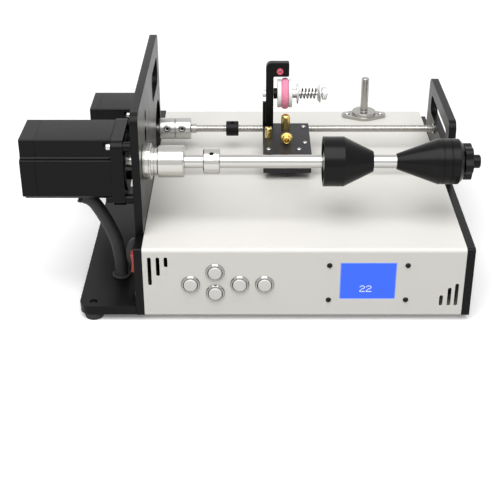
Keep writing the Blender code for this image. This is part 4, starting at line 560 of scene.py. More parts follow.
EYE_RED = Moulded("eye_red", "red_ceramic", (0.72, 0.10, 0.16), 0.22, relief=0.03)
CAP_WHITE = Moulded("cap_white", "white_plastic", (0.70, 0.69, 0.665), 0.33, relief=0.04, tint=0.02)
WHEEL_WHITE = Moulded("wheel_white", "white_plastic", (0.86, 0.86, 0.85), 0.30, relief=0.04, tint=0.02,
                      soft=0.1)
FELT = Pressed("pink_felt", "pink_felt", (0.95, 0.34, 0.50), (0.88, 0.20, 0.36))
DISPLAY = Lit("display", "screen", (0.050, 0.150, 0.98), (0.10, 0.20, 0.80), WINDOW_LOW, WINDOW_HIGH)
DIGITS = Lit("display_digits", "screen", (0.86, 0.92, 1.0), (0.86, 0.92, 1.0), (0.0, 0.0), (600.0, 300.0))
BOARD = Circuit("circuit", "circuit_green", (0.02, 0.12, 0.05))
SUPPLY_METAL = Paint("supply_metal", "aluminium", (0.5, 0.5, 0.5), 0.38, metallic=0.9, peel=0.0012,
                     clouds=0.06)


# Meshes


def rounded(corners: Sequence[Corner], steps: int = 8) -> Outline:
    """An outline through corners, each with its own round.

    Args:
        corners: (u, v, radius) in order.
        steps: how many edges make one round.

    Returns:
        The outline's points.
    """
    outline: Outline = []
    for index, (u, v, radius) in enumerate(corners):
        corner = Vector((u, v))
        if radius == 0:
            outline.append((u, v))
            continue
        before = (Vector(corners[index - 1][:2]) - corner).normalized()
        after = (Vector(corners[(index + 1) % len(corners)][:2]) - corner).normalized()
        half = before.angle(after) / 2
        centre = corner + (before + after).normalized() * (radius / math.sin(half))
        start = corner + before * (radius / math.tan(half)) - centre
        sweep = math.pi - 2 * half
        if before.x * after.y - before.y * after.x > 0:
            sweep = -sweep
        for step in range(steps + 1):
            spot = centre + Matrix.Rotation(sweep * step / steps, 2) @ start
            outline.append((spot.x, spot.y))
    return outline


def rectangle(low: Spot, high: Spot, radius: float = 0.0) -> Outline:
    """A rectangle's outline with round corners."""
    return rounded([(low[0], low[1], radius), (high[0], low[1], radius),
                    (high[0], high[1], radius), (low[0], high[1], radius)])


def circle(u: float, v: float, radius: float, sides: int = 48) -> Outline:
    """A round outline."""
    angles = [math.tau * index / sides for index in range(sides)]
    return [(u + radius * math.cos(angle), v + radius * math.sin(angle)) for angle in angles]


def capsule(u: float, low: float, high: float, width: float, steps: int = 8) -> Outline:
    """An upright slot with round ends."""
    half = width / 2
    return [(u + half * math.cos(angle), centre + half * math.sin(angle))
            for centre, start in ((high - half, 0.0), (low + half, math.pi))
            for angle in (start + math.pi * step / steps for step in range(steps + 1))]


def finished(work: bmesh.types.BMesh, name: str) -> Mesh:
    """Turn the work into a mesh, and free it.

    Args:
        work: the faces that were made.
        name: the mesh's name.

    Returns:
        The new mesh.
    """
    mesh = bpy.data.meshes.new(name)
    work.to_mesh(mesh)
    work.free()
    return mesh


def tidy(mesh: Mesh, merge: float = 0.002, flat: bool = False) -> Mesh:
    """Merge doubles and turn the faces out.

    Args:
        mesh: the mesh, changed in place.
        merge: how near two points are one, in millimetres.
        flat: also join faces that lie in one plane.

    Returns:
        The same mesh.
    """
    work = bmesh.new()
    work.from_mesh(mesh)
    bmesh.ops.remove_doubles(work, verts=work.verts, dist=merge)
    if flat:
        bmesh.ops.dissolve_limit(work, angle_limit=math.radians(0.1), verts=work.verts, edges=work.edges)
    bmesh.ops.recalc_face_normals(work, faces=work.faces)
    work.to_mesh(mesh)
    work.free()
    return mesh


def holder(name: str, data: Any) -> bpy.types.Object:
    """An object in the scene for some data.

    Args:
        name: the object's name.
        data: its mesh, curve, lamp or camera data.

    Returns:
        The new object.
    """
    obj = bpy.data.objects.new(name, data)
    bpy.context.scene.collection.objects.link(obj)
    return obj


def taken(obj: bpy.types.Object) -> Mesh:
    """The object's evaluated mesh, with the object removed.

    Args:
        obj: an object with its modifiers.

    Returns:
        Its mesh as evaluated, in the object's place.
    """
    bpy.context.view_layer.update()
    graph = bpy.context.evaluated_depsgraph_get()
    mesh = bpy.data.meshes.new_from_object(obj.evaluated_get(graph))
    mesh.transform(obj.matrix_basis)
    bpy.data.objects.remove(obj, do_unlink=True)
    return mesh


PLANES = {
    Axis.X: Matrix(((0, 0, 1), (1, 0, 0), (0, 1, 0))).to_4x4(),
    Axis.Y: Matrix(((1, 0, 0), (0, 0, -1), (0, 1, 0))).to_4x4(),
    Axis.Z: Matrix.Identity(4),
}


def prism(outline: Outline, axis: Axis, low: float, high: float, holes: Iterable[Outline] = ()) -> Mesh:
    """A flat outline with holes, filled between two planes.

    Args:
        outline: points in the two axes that are left over.
        axis: the direction of the thickness.
        low: where it starts along the axis.
        high: where it ends.
        holes: outlines of holes through it.

    Returns:
        The closed mesh.
    """
    curve = bpy.data.curves.new("outline", "CURVE")
    curve.dimensions = "2D"
    curve.fill_mode = "BOTH"
    curve.extrude = (high - low) / 2
    for loop in (outline, *holes):
        spline = curve.splines.new("POLY")
        spline.points.add(len(loop) - 1)
        for point, (u, v) in zip(spline.points, loop):
            point.co = (u, v, 0, 1)
        spline.use_cyclic_u = True
    obj = holder("prism", curve)
    shift = {Axis.X: SIDE_X, Axis.Y: SIDE_Y, Axis.Z: SIDE_Z}[axis] * ((low + high) / 2)
    obj.matrix_basis = Matrix.Translation(shift) @ PLANES[axis]
    return tidy(taken(obj), flat=True)


def lathe(profile: Profile, origin: Point, direction: Vector, sides: int = 96,
          steps: int = 5) -> Mesh:
    """A turned body whose profile's corners are rounded.

    Args:
        profile: (radius, height, round) in order round the section; radius 0 lies on the axis.
        origin: where height 0 is.
        direction: the axis that heights go along.
        sides: faces round the body.
        steps: edges in each round of the profile.

    Returns:
        The closed mesh.
    """
    section = rounded(profile, steps)
    work = bmesh.new()
    turn = Matrix.Translation(origin) @ SIDE_Z.rotation_difference(direction).to_matrix().to_4x4()
    rings: list[list[bmesh.types.BMVert]] = []
    for radius, height in section:
        if radius < 1e-6:
            rings.append([work.verts.new(turn @ Vector((0, 0, height)))] * sides)
            continue
        rings.append([work.verts.new(turn @ Vector((radius * math.cos(math.tau * side / sides),
                                                    radius * math.sin(math.tau * side / sides), height)))
                      for side in range(sides)])
    for index, ring in enumerate(rings):
        after = rings[(index + 1) % len(rings)]
        for side in range(sides):
            corner = [ring[side], ring[(side + 1) % sides], after[(side + 1) % sides], after[side]]
            distinct = list(dict.fromkeys(corner))
            if len(distinct) > 2:
                work.faces.new(distinct)
    bmesh.ops.recalc_face_normals(work, faces=work.faces)
    return finished(work, "lathe")


def block(low: Point, high: Point) -> Mesh:
    """A box between two corners.

    Args:
        low: its lowest corner.
        high: its highest corner.

    Returns:
        The mesh.
    """
    work = bmesh.new()
    centre = (Vector(low) + Vector(high)) / 2
    bmesh.ops.create_cube(work, size=1, matrix=Matrix.Translation(centre)
                          @ Matrix.Diagonal((*(Vector(high) - Vector(low)), 1)))
    return finished(work, "block")


def rod(start: Point, end: Point, radius: float, sides: int = 48, edge: float = 0.0) -> Mesh:
    """A round bar between two points, with its ends' edges rounded."""
    run = Vector(end) - Vector(start)
    return lathe([(0, 0, 0), (radius, 0, edge), (radius, run.length, edge), (0, run.length, 0)], tuple(start),
                 run.normalized(), sides, 3)


def merged(meshes: Iterable[Mesh]) -> Mesh:
    """Several bodies as one mesh.

    Args:
        meshes: the bodies, which stay separate.

    Returns:
        The mesh.
    """
    work = bmesh.new()
    for mesh in meshes:
        work.from_mesh(mesh)
    return finished(work, "merged")


def combined(mesh: Mesh, tools: Iterable[Mesh], operation: str = "DIFFERENCE") -> Mesh:
    """A Boolean of a mesh with some tools.

    Args:
        mesh: what is changed.
        tools: what is cut away or joined.
        operation: DIFFERENCE or UNION.

    Returns:
        The result as a new mesh.
    """
    obj = holder("combined", mesh)
    helpers = [holder("tool", tool) for tool in tools]
    for helper in helpers:
        modifier = obj.modifiers.new("cut", "BOOLEAN")
        modifier.operation = operation
        modifier.solver = "EXACT"
        modifier.object = helper
    result = taken(obj)
    for helper in helpers:
        bpy.data.objects.remove(helper, do_unlink=True)
    return tidy(result, flat=True)


def softened(mesh: Mesh, width: float, segments: int = 2) -> Mesh:
    """The mesh with its sharp edges broken.

    Args:
        mesh: a closed mesh.
        width: the bevel's width in millimetres.
        segments: faces across the bevel.

    Returns:
        The bevelled mesh.
    """
    obj = holder("softened", mesh)
    bevel = obj.modifiers.new("bevel", "BEVEL")
    bevel.width = width
    bevel.segments = segments
    bevel.limit_method = "ANGLE"
    bevel.angle_limit = BREAK_ANGLE
    bevel.use_clamp_overlap = True
    bevel.miter_outer = "MITER_ARC"
    return taken(obj)


def swept(points: Sequence[Vector], radius: float, sides: int = 32) -> Mesh:
    """A round tube along points, with closed ends and a UV map in metres along and round it.

    Args:
        points: the centre line.
        radius: the tube's radius.
        sides: faces round it.

    Returns:
        The tube's mesh.
    """
    work = bmesh.new()
    layer = work.loops.layers.uv.new("UVMap")
    rings = []
    lengths = [0.0]
    normal = SIDE_Y.copy()
    for index, point in enumerate(points):
        ahead = points[min(index + 1, len(points) - 1)] - points[max(index - 1, 0)]
        ahead.normalize()
        normal = (normal - ahead * normal.dot(ahead)).normalized()
        other = ahead.cross(normal)
        rings.append([work.verts.new(point + (normal * math.cos(math.tau * side / sides)
                                              + other * math.sin(math.tau * side / sides)) * radius)
                      for side in range(sides)])
        if index:
            lengths.append(lengths[-1] + (point - points[index - 1]).length)
    for index in range(len(rings) - 1):
        for side in range(sides):
            after = (side + 1) % sides
            face = work.faces.new((rings[index][side], rings[index][after], rings[index + 1][after],
                                   rings[index + 1][side]))
            spots = ((index, side), (index, side + 1), (index + 1, side + 1), (index + 1, side))
            for loop, (row, column) in zip(face.loops, spots):
                loop[layer].uv = (lengths[row] / 1000, column / sides * math.tau * radius / 1000)
    work.faces.new(rings[0])
    work.faces.new(rings[-1])
    bmesh.ops.recalc_face_normals(work, faces=work.faces)
    return finished(work, "swept")


def curved(controls: Sequence[Vector], step: float) -> list[Vector]:
    """Points about one step apart on a smooth curve through the controls.

    Args:
        controls: the points that the curve goes through.
        step: the points' spacing.

    Returns:
        The points.
    """
    ends = [controls[0] * 2 - controls[1], *controls, controls[-1] * 2 - controls[-2]]
    path: list[Vector] = []
    for index in range(1, len(ends) - 2):
        before, start, end, after = ends[index - 1:index + 3]
        count = max(1, round((end - start).length / step))
        for part in range(count):
            share = part / count
            path.append((start * 2 + (end - before) * share
                         + (before * 2 - start * 5 + end * 4 - after) * share ** 2
                         + (start * 3 - before - end * 3 + after) * share ** 3) / 2)
    path.append(controls[-1].copy())
    return path


# Repeated forms


class Recipe(Graph):
    """A geometry tree with named inputs, which ends in real meshes of one material."""

    def __init__(self, name: str) -> None:
        """Make an empty geometry tree.

        Args:
            name: the tree's name.
        """
        tree = bpy.data.node_groups.new(name, "GeometryNodeTree")
        tree.interface.new_socket("Geometry", in_out="OUTPUT", socket_type="NodeSocketGeometry")
        super().__init__(tree)
        self.source = tree.nodes.new("NodeGroupInput")
        self.identifiers: dict[str, str] = {}

    def entries(self, kind: str, *names: str) -> list[Wire]:
        """Add named inputs of one kind.

        Args:
            kind: what they hold, such as Float or Geometry.
            names: their names.

        Returns:
            Their wires.
        """
        for name in names:
            socket = self.tree.interface.new_socket(name, in_out="INPUT", socket_type=f"NodeSocket{kind}")
            self.identifiers[name] = socket.identifier
        return [Wire(self, self.source.outputs[name]) for name in names]

    def instances(self, points: Wire, form: Wire, **inputs: Value) -> Wire:
        """The form on each of the points."""
        return self.node("GeometryNodeInstanceOnPoints", None, {"Points": points, "Instance": form, **inputs})

    def close(self, geometry: Wire) -> None:
        """End the tree in real geometry with the material that is given.

        Args:
            geometry: what the tree has made.
        """
        material, = self.entries("Material", "Material")
        real = self.node("GeometryNodeRealizeInstances", None, {"Geometry": geometry})
        dressed = self.node("GeometryNodeSetMaterial", None, {"Geometry": real, "Material": material})
        self.node("NodeGroupOutput", None, {0: dressed})

    def bake(self, base: Mesh, values: dict[str, Any]) -> Mesh:
        """Run the tree once.

        Args:
            base: the mesh that the modifier sits on.
            values: the named inputs' values.

        Returns:
            The result as a plain mesh.
        """
        obj = holder("recipe", base)
        modifier = obj.modifiers.new("recipe", "NODES")
        modifier.node_group = self.tree
        for name, value in values.items():
            modifier[self.identifiers[name]] = value
        return taken(obj)


class HeadRecipe(Recipe):
    """Screw heads on points, each turned to the point's own facing."""

    def __init__(self) -> None:
        """Write the tree."""
        super().__init__("screw_heads")
        points, = self.entries("Geometry", "Points")
        head, = self.entries("Object", "Head")
        size, = self.entries("Float", "Size")
        form = self.node("GeometryNodeObjectInfo", None, {"Object": head}, "Geometry")
        facing = self.node("GeometryNodeInputNamedAttribute", {"data_type": "FLOAT_VECTOR"},
                           {"Name": "facing"})
        turn = self.node("FunctionNodeAlignRotationToVector", {"axis": "Z"}, {"Vector": facing})
        self.close(self.instances(points, form, Rotation=turn, Scale=size))


class HelixRecipe(Recipe):
    """One or more round wires wound about Z: a spring's curls or a screw's thread."""

    def __init__(self) -> None:
        """Write the tree."""
        super().__init__("helix")
        radius, length, turns, wire = self.entries("Float", "Radius", "Length", "Turns", "Wire")
        starts, detail, sides = self.entries("Int", "Starts", "Detail", "Sides")
        spiral = self.node("GeometryNodeCurveSpiral", None,
                           {"Resolution": detail, "Rotations": turns, "Start Radius": radius,
                            "End Radius": radius, "Height": length})
        section = self.node("GeometryNodeCurvePrimitiveCircle", None, {"Resolution": sides, "Radius": wire})
        tube = self.node("GeometryNodeCurveToMesh", None,
                         {"Curve": spiral, "Profile Curve": section, "Fill Caps": True})
        row = self.node("GeometryNodeMeshLine", None, {"Count": starts, "Offset": (0, 0, 0)})
        index = self.node("GeometryNodeInputIndex")
        turn = self.node("ShaderNodeCombineXYZ", None, {"Z": index * math.tau / starts})
        self.close(self.instances(row, tube, Rotation=turn))


class RidgeRecipe(Recipe):
    """Straight ridges about Z, as on a knurled rim."""

    def __init__(self) -> None:
        """Write the tree."""
        super().__init__("ridges")
        radius, = self.entries("Float", "Radius")
        count, = self.entries("Int", "Count")
        size, = self.entries("Vector", "Ridge")
        rim = self.node("GeometryNodeMeshCircle", None, {"Vertices": count, "Radius": radius})
        ridge = self.node("GeometryNodeMeshCube", None, {"Size": size})
        place = self.node("GeometryNodeInputPosition")
        turn = self.node("FunctionNodeAlignRotationToVector", {"axis": "X"}, {"Vector": place})
        self.close(self.instances(rim, ridge, Rotation=turn))


class DotRecipe(Recipe):
    """Small square dots on points, as on a dot display."""

    def __init__(self) -> None:
        """Write the tree."""
        super().__init__("dots")
        points, = self.entries("Geometry", "Points")
        size, = self.entries("Vector", "Dot")
        self.close(self.instances(points, self.node("GeometryNodeMeshCube", None, {"Size": size})))


def point_mesh(places: Sequence[Point], facing: Sequence[Vector] | None = None) -> Mesh:
    """Loose points, each with the direction that it faces.

    Args:
        places: the points.
        facing: each point's direction, if it needs one.

    Returns:
        The mesh.
    """
    mesh = bpy.data.meshes.new("points")
    mesh.from_pydata([tuple(place) for place in places], [], [])
    if facing is not None:
        attribute = mesh.attributes.new("facing", "FLOAT_VECTOR", "POINT")
        attribute.data.foreach_set("vector", [part for way in facing for part in way])
    return mesh


class Workshop:
    """Makes finished pieces, and keeps one material for each finish."""

    def __init__(self, frame: dict[str, Any]) -> None:
        """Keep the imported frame.

        Args:
            frame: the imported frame.
        """
        self.frame = frame
        self.materials: dict[str, bpy.types.Material] = {}
        self.heads = HeadRecipe()
        self.helix = HelixRecipe()
        self.ridges = RidgeRecipe()
        self.dots = DotRecipe()

    def material(self, finish: Finish) -> bpy.types.Material:
        """The finish's material, made once.

        Args:
            finish: the finish.

        Returns:
            Its material.
        """
        if finish.name not in self.materials:
            self.materials[finish.name] = finish.make()
        return self.materials[finish.name]

    def add(self, name: str, mesh: Mesh, finish: Finish, node: str = "",
            body: str = "base") -> bpy.types.Object:
        """Turn a mesh into a finished piece.

        Args:
            name: the piece's name.
            mesh: its mesh in millimetres in the machine's frame.
            finish: its finish.
            node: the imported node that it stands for, if any.
            body: the moving body that it rides on.

        Returns:
            The piece's object.
        """
        mesh.transform(TO_METRES)
        mesh.name = name
        mesh.shade_smooth()
        mesh.set_sharp_from_angle(angle=SMOOTH_ANGLE)
        mesh.materials.clear()
        mesh.materials.append(self.material(finish))
        obj = holder(name, mesh)
        obj.modifiers.new("normals", "WEIGHTED_NORMAL").keep_sharp = True
        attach(obj, body)
        if node:
            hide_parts(node)
        log.info("%s rides on %s, %d faces", name, body, len(mesh.polygons))
        return obj

    def copied(self, node: str) -> Mesh:
        """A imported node's mesh, merged, in the machine's millimetres.

        Args:
            node: the node's name.

        Returns:
            The mesh.
        """
        mesh = self.frame["nodes"][node].data.copy()
        mesh.transform(TO_MACHINE)
        return tidy(mesh, 0.005, flat=True)

    def screws(self, name: str, kind: Head, places: Sequence[Point], facing: Sequence[Vector], size: float,
               finish: Finish, body: str = "base") -> bpy.types.Object:
        """Screw heads of one kind at several places, as one piece.

        Args:
            name: the piece's name.
            kind: the kind of head.
            places: where each head rests.
            facing: the way that each head faces.
            size: the head's radius.
            finish: its finish.
            body: the body that it rides on.

        Returns:
            The piece's object.
        """
        head = holder("head", head_mesh(kind))
        mesh = self.heads.bake(point_mesh(places, facing),
                               {"Head": head, "Size": size, "Material": self.material(finish)})
        bpy.data.objects.remove(head, do_unlink=True)
        return self.add(name, tidy(mesh, MERGE), finish, body=body)


def head_mesh(kind: Head) -> Mesh:
    """A screw head of radius 1 on the XY plane, facing +Z, with its hex socket.

    Args:
        kind: the kind of head.

    Returns:
        The head's mesh.
    """
    if kind is Head.CAP:
        profile = [(0, -0.3, 0), (0.6, -0.3, 0), (0.6, 0.0, 0), (0.97, 0.0, 0.06), (1.0, 0.12, 0.0),
                   (1.0, 1.12, 0.0), (0.93, 1.25, 0.1), (0, 1.25, 0)]
        top, depth, key = 1.25, 0.7, 0.52
    elif kind is Head.BUTTON:
        profile = [(0, -0.3, 0), (0.55, -0.3, 0), (0.55, 0.0, 0), (1.0, 0.0, 0.04), (0.97, 0.16, 0.05),
                   (0.80, 0.42, 0.2), (0.50, 0.58, 0.2), (0, 0.60, 0)]
        top, depth, key = 0.60, 0.42, 0.42
    else:
        profile = [(0, -0.8, 0), (1.0, -0.8, 0), (1.0, -0.12, 0.05), (0.82, 0.0, 0.05), (0, 0.0, 0)]
        top, depth, key = 0.0, 0.6, 0.55
    socket = prism(circle(0, 0, key, 6), Axis.Z, top - depth, top + 0.2)
    cone = lathe([(0, top - 0.08, 0), (key * 0.95, top - 0.08, 0), (key * 1.25, top + 0.1, 0),
                  (0, top + 0.1, 0)],
                 (0, 0, 0), SIDE_Z, 24, 1)
    return combined(lathe(profile, (0, 0, 0), SIDE_Z, 32, 2), [socket, cone])


# Sub-assemblies


@dataclass(frozen=True)
class Housing:
    """The bent cover, the tray under it and the five chrome button rings."""

    span: float = SPAN
    rear: float = 449.0
    floor: float = 9.0
    top: float = HOUSING_TOP
    sheet: float = 2.0
    bend: float = 5.0
    fit: float = 0.3
    vent_width: float = 4.5
    left_vent_top: float = 91.6
    left_vents: Spots = ((8.9, 51.4), (19.4, 64.7), (29.3, 77.2))
    right_vent_bottom: float = 21.7
    right_vents: Spots = ((372.7, 37.2), (382.6, 48.1), (391.3, 54.1))
    window_low: Spot = WINDOW_LOW
    window_high: Spot = WINDOW_HIGH
    buttons: Spots = ((59.2, 53.7), (90.0, 70.9), (90.0, 41.4), (120.4, 53.8), (151.4, 53.7))
    ring_radius: float = 12.0
    ring_neck: float = 10.4
    ring_bore: float = 8.55
    ring_proud: float = 3.0
    ring_back: float = 10.0
    cap_radius: float = 8.25
    cap_proud: float = 5.0
    cap_back: float = 8.0
    edge: float = 0.35

    def cover(self) -> Mesh:
        """The sheet with its vents, window and holes.

        Returns:
            The mesh.
        """
        inner = self.top - self.sheet
        outline = rounded([(0, self.floor, 0), (self.sheet, self.floor, 0),
                           (self.sheet, inner, self.bend - self.sheet),
                           (self.rear, inner, 0), (self.rear, self.top, 0), (0, self.top, self.bend)])
        shell = prism(outline, Axis.X, self.fit, self.span - self.fit)
        slots = [capsule(x, low, self.left_vent_top, self.vent_width) for x, low in self.left_vents]
        slots += [capsule(x, self.right_vent_bottom, top, self.vent_width) for x, top in self.right_vents]
        slots.append(rectangle((self.window_low[0] - self.fit, self.window_low[1] - self.fit),
                               (self.window_high[0] + self.fit, self.window_high[1] + self.fit), 0.8))
        slots += [circle(x, z, self.ring_neck + self.fit / 3) for x, z in self.buttons]
        cutters = merged(prism(slot, Axis.Y, -self.sheet, 2 * self.sheet) for slot in slots)
        return softened(combined(shell, [cutters]), self.edge)

    def ring(self, x: float, z: float) -> Mesh:
        """One button's rounded chrome ring."""
        profile = [(self.ring_bore, -self.ring_back, 0), (self.ring_bore, self.ring_proud - 1.6, 0.2),
                   (self.ring_bore + 1.1, self.ring_proud, 0.5),
                   (self.ring_radius - 1.5, self.ring_proud, 0.7),
                   (self.ring_radius, self.ring_proud - 2.2, 0.6), (self.ring_radius, 0.4, 0.1),
                   (self.ring_radius - 0.5, 0.05, 0),
                   (self.ring_neck, 0.05, 0), (self.ring_neck, -self.ring_back, 0)]
        return lathe(profile, (x, 0, z), -SIDE_Y, 96, 5)

    def cap(self, x: float, z: float) -> Mesh:
        """One button's cap."""
        profile = [(0, self.cap_proud, 0), (self.cap_radius, self.cap_proud, 1.1),
                   (self.cap_radius, -self.cap_back, 0), (0, -self.cap_back, 0)]
        return lathe(profile, (x, 0, z), -SIDE_Y, 72, 6)

    def build(self, shop: Workshop) -> None:
        """Make the housing's pieces.

        Args:
            shop: what makes the finished pieces.
        """
        shop.add("housing_cover_sheet", self.cover(), WHITE_COAT, "housing_cover")
        shop.add("tray", softened(shop.copied("chassis_tray"), self.edge), WHITE_COAT, "chassis_tray")
        for index, (x, z) in enumerate(self.buttons, 1):
            shop.add(f"button_ring_{index}", self.ring(x, z), BUTTON_CHROME)
            shop.add(f"button_face_{index}", self.cap(x, z), CAP_WHITE, f"button_cap_{index}",
                     f"button_{index}")


@dataclass(frozen=True)
class SidePlates:
    """The tall left plate, the right plate with its handle, and the plate under the motors."""

    depth: float = 454.0
    floor: float = 8.0
    housing_top: float = HOUSING_TOP
    thick: float = PLATE
    left_front: float = 36.0
    left_rear: float = 353.0
    left_top: float = 263.0
    left_corner: float = 14.0
    hand_low: Spot = (235.0, 198.5)
    hand_high: Spot = (325.0, 238.5)
    left_rounds: tuple[Corner, ...] = ((*SCREW_LINE, 41.5), (130.0, 226.0, 7.0), (123.0, 203.0, 10.5),
                                       (*SPINDLE_LINE, 15.0))
    switch_low: Spot = (43.7, 42.7)
    switch_high: Spot = (60.3, 71.3)
    span: float = SPAN
    right_front: float = 193.0
    right_top: float = 189.0
    right_rear: float = 372.0
    right_foot: float = 380.0
    right_rear_top: float = 93.0
    handle_corner: float = 12.0
    finger_low: Spot = (213.0, 143.0)
    finger_high: Spot = (350.0, 170.0)
    bush_hole: Corner = (*SCREW_LINE, 5.3)
    rod: Corner = (*GUIDE_LINE, 4.3)
    rod_seat: float = 6.0
    side_screws: Spots = ((20.0, 27.5), (434.0, 27.5))
    base_reach: float = 82.5
    base_depth: float = 347.0
    base_low: float = 9.0
    base_high: float = 21.0
    base_corner: float = 15.0
    base_feet: Spots = ((-65.0, 12.5), (-65.0, 334.5))
    other_feet: Spots = ((360.0, 40.0), (360.0, 414.0))
    grommet: Corner = (-36.0, SPINDLE_LINE[0], 10.8)
    foot_radius: float = 12.5
    front_round: float = 4.0
    edge: float = 0.7

    def plate(self, x: float, upper: Profile, holes: Sequence[Outline], seat: Spot) -> Mesh:
        """A side plate over the housing's own side.

        Args:
            x: its left face.
            upper: the corners of its upper edge, from the rear to the front.
            holes: the outlines of its openings.
            seat: where the guide rod's blind seat starts and ends.

        Returns:
            The mesh.
        """
        outline = rounded([(0, self.floor, 1), (self.depth, self.floor, 1), *upper,
                           (0, self.housing_top, self.front_round)], 12)
        y, z, radius = self.rod
        seat_bar = rod((seat[0], y, z), (seat[1], y, z), radius)
        return softened(combined(prism(outline, Axis.X, x, x + self.thick, holes), [seat_bar]), self.edge, 3)

    def left(self) -> Mesh:
        """The left plate with every opening.

        Returns:
            The mesh.
        """
        upper = [(self.depth, self.housing_top, 1.5), (self.left_rear, self.housing_top, 0),
                 (self.left_rear, self.left_top, self.left_corner),
                 (self.left_front, self.left_top, self.left_corner), (self.left_front, self.housing_top, 0)]
        holes = [rectangle(self.hand_low, self.hand_high, self.left_corner),
                 rectangle(self.switch_low, self.switch_high)]
        holes += [circle(y, z, radius, 96) for y, z, radius in self.left_rounds]
        return self.plate(-self.thick, upper, holes, (-self.rod_seat, 1))

    def right(self) -> Mesh:
        """The right plate with its finger opening.

        Returns:
            The mesh.
        """
        upper = [(self.depth, self.right_rear_top, 1.5), (self.right_foot, self.right_rear_top, 0),
                 (self.right_rear, self.right_top, self.handle_corner),
                 (self.right_front, self.right_top, self.handle_corner),
                 (self.right_front, self.housing_top, 0)]
        holes = [rectangle(self.finger_low, self.finger_high, 10), circle(*self.bush_hole)]
        return self.plate(self.span, upper, holes, (self.span - 1, self.span + self.rod_seat))

    def base(self) -> Mesh:
        """The thick plate under the motors, with a recess over each foot.

        Returns:
            The mesh.
        """
        right = -self.thick - 0.3
        outline = rounded([(-self.base_reach, 0, self.base_corner), (right, 0, 1),
                           (right, self.base_depth, 1),
                           (-self.base_reach, self.base_depth, self.base_corner)], 12)
        plate = prism(outline, Axis.Z, self.base_low, self.base_high, [circle(*self.grommet)])
        recesses = [rod((x, y, self.base_high - 3), (x, y, self.base_high + 1), 4.8) for x,
                    y in self.base_feet]
        return softened(combined(plate, [merged(recesses)]), self.edge, 3)

    def foot(self, x: float, y: float) -> Mesh:
        """A rubber foot.

        Args:
            x: its place across.
            y: its place along.

        Returns:
            The mesh.
        """
        top = self.base_low - 0.3
        profile = [(0, 0, 0), (self.foot_radius - 1, 0, 0.9), (self.foot_radius - 0.1, top * 0.55, 0.5),
                   (self.foot_radius, top, 0.4), (0, top, 0)]
        return lathe(profile, (x, y, 0), SIDE_Z, 64, 4)

    def build(self, shop: Workshop) -> None:
        """Make the plates, their feet and their screws.

        Args:
            shop: what makes the finished pieces.
        """
        shop.add("left_plate", self.left(), BLACK_COAT, "left_side_plate")
        shop.add("right_plate", self.right(), BLACK_COAT, "right_side_plate")
        shop.add("base_plate", self.base(), BLACK_COAT, "motor_base_plate")
        for index, (x, y) in enumerate((*self.other_feet, *self.base_feet), 1):
            shop.add(f"foot_pad_{index}", self.foot(x, y), RUBBER, f"rubber_foot_{index}")
        outer = self.span + self.thick
        places = [(x, y, z) for x in (-self.thick, outer) for y, z in self.side_screws]
        facing = [way for way in (-SIDE_X, SIDE_X) for _ in self.side_screws]
        shop.screws("side_screws", Head.BUTTON, places, facing, 4.6, SCREW_ZINC)
        feet = [(x, y, self.base_high - 3) for x, y in self.base_feet]
        shop.screws("foot_screws", Head.BUTTON, feet, [SIDE_Z] * len(feet), 4.2, DARK_SCREW)


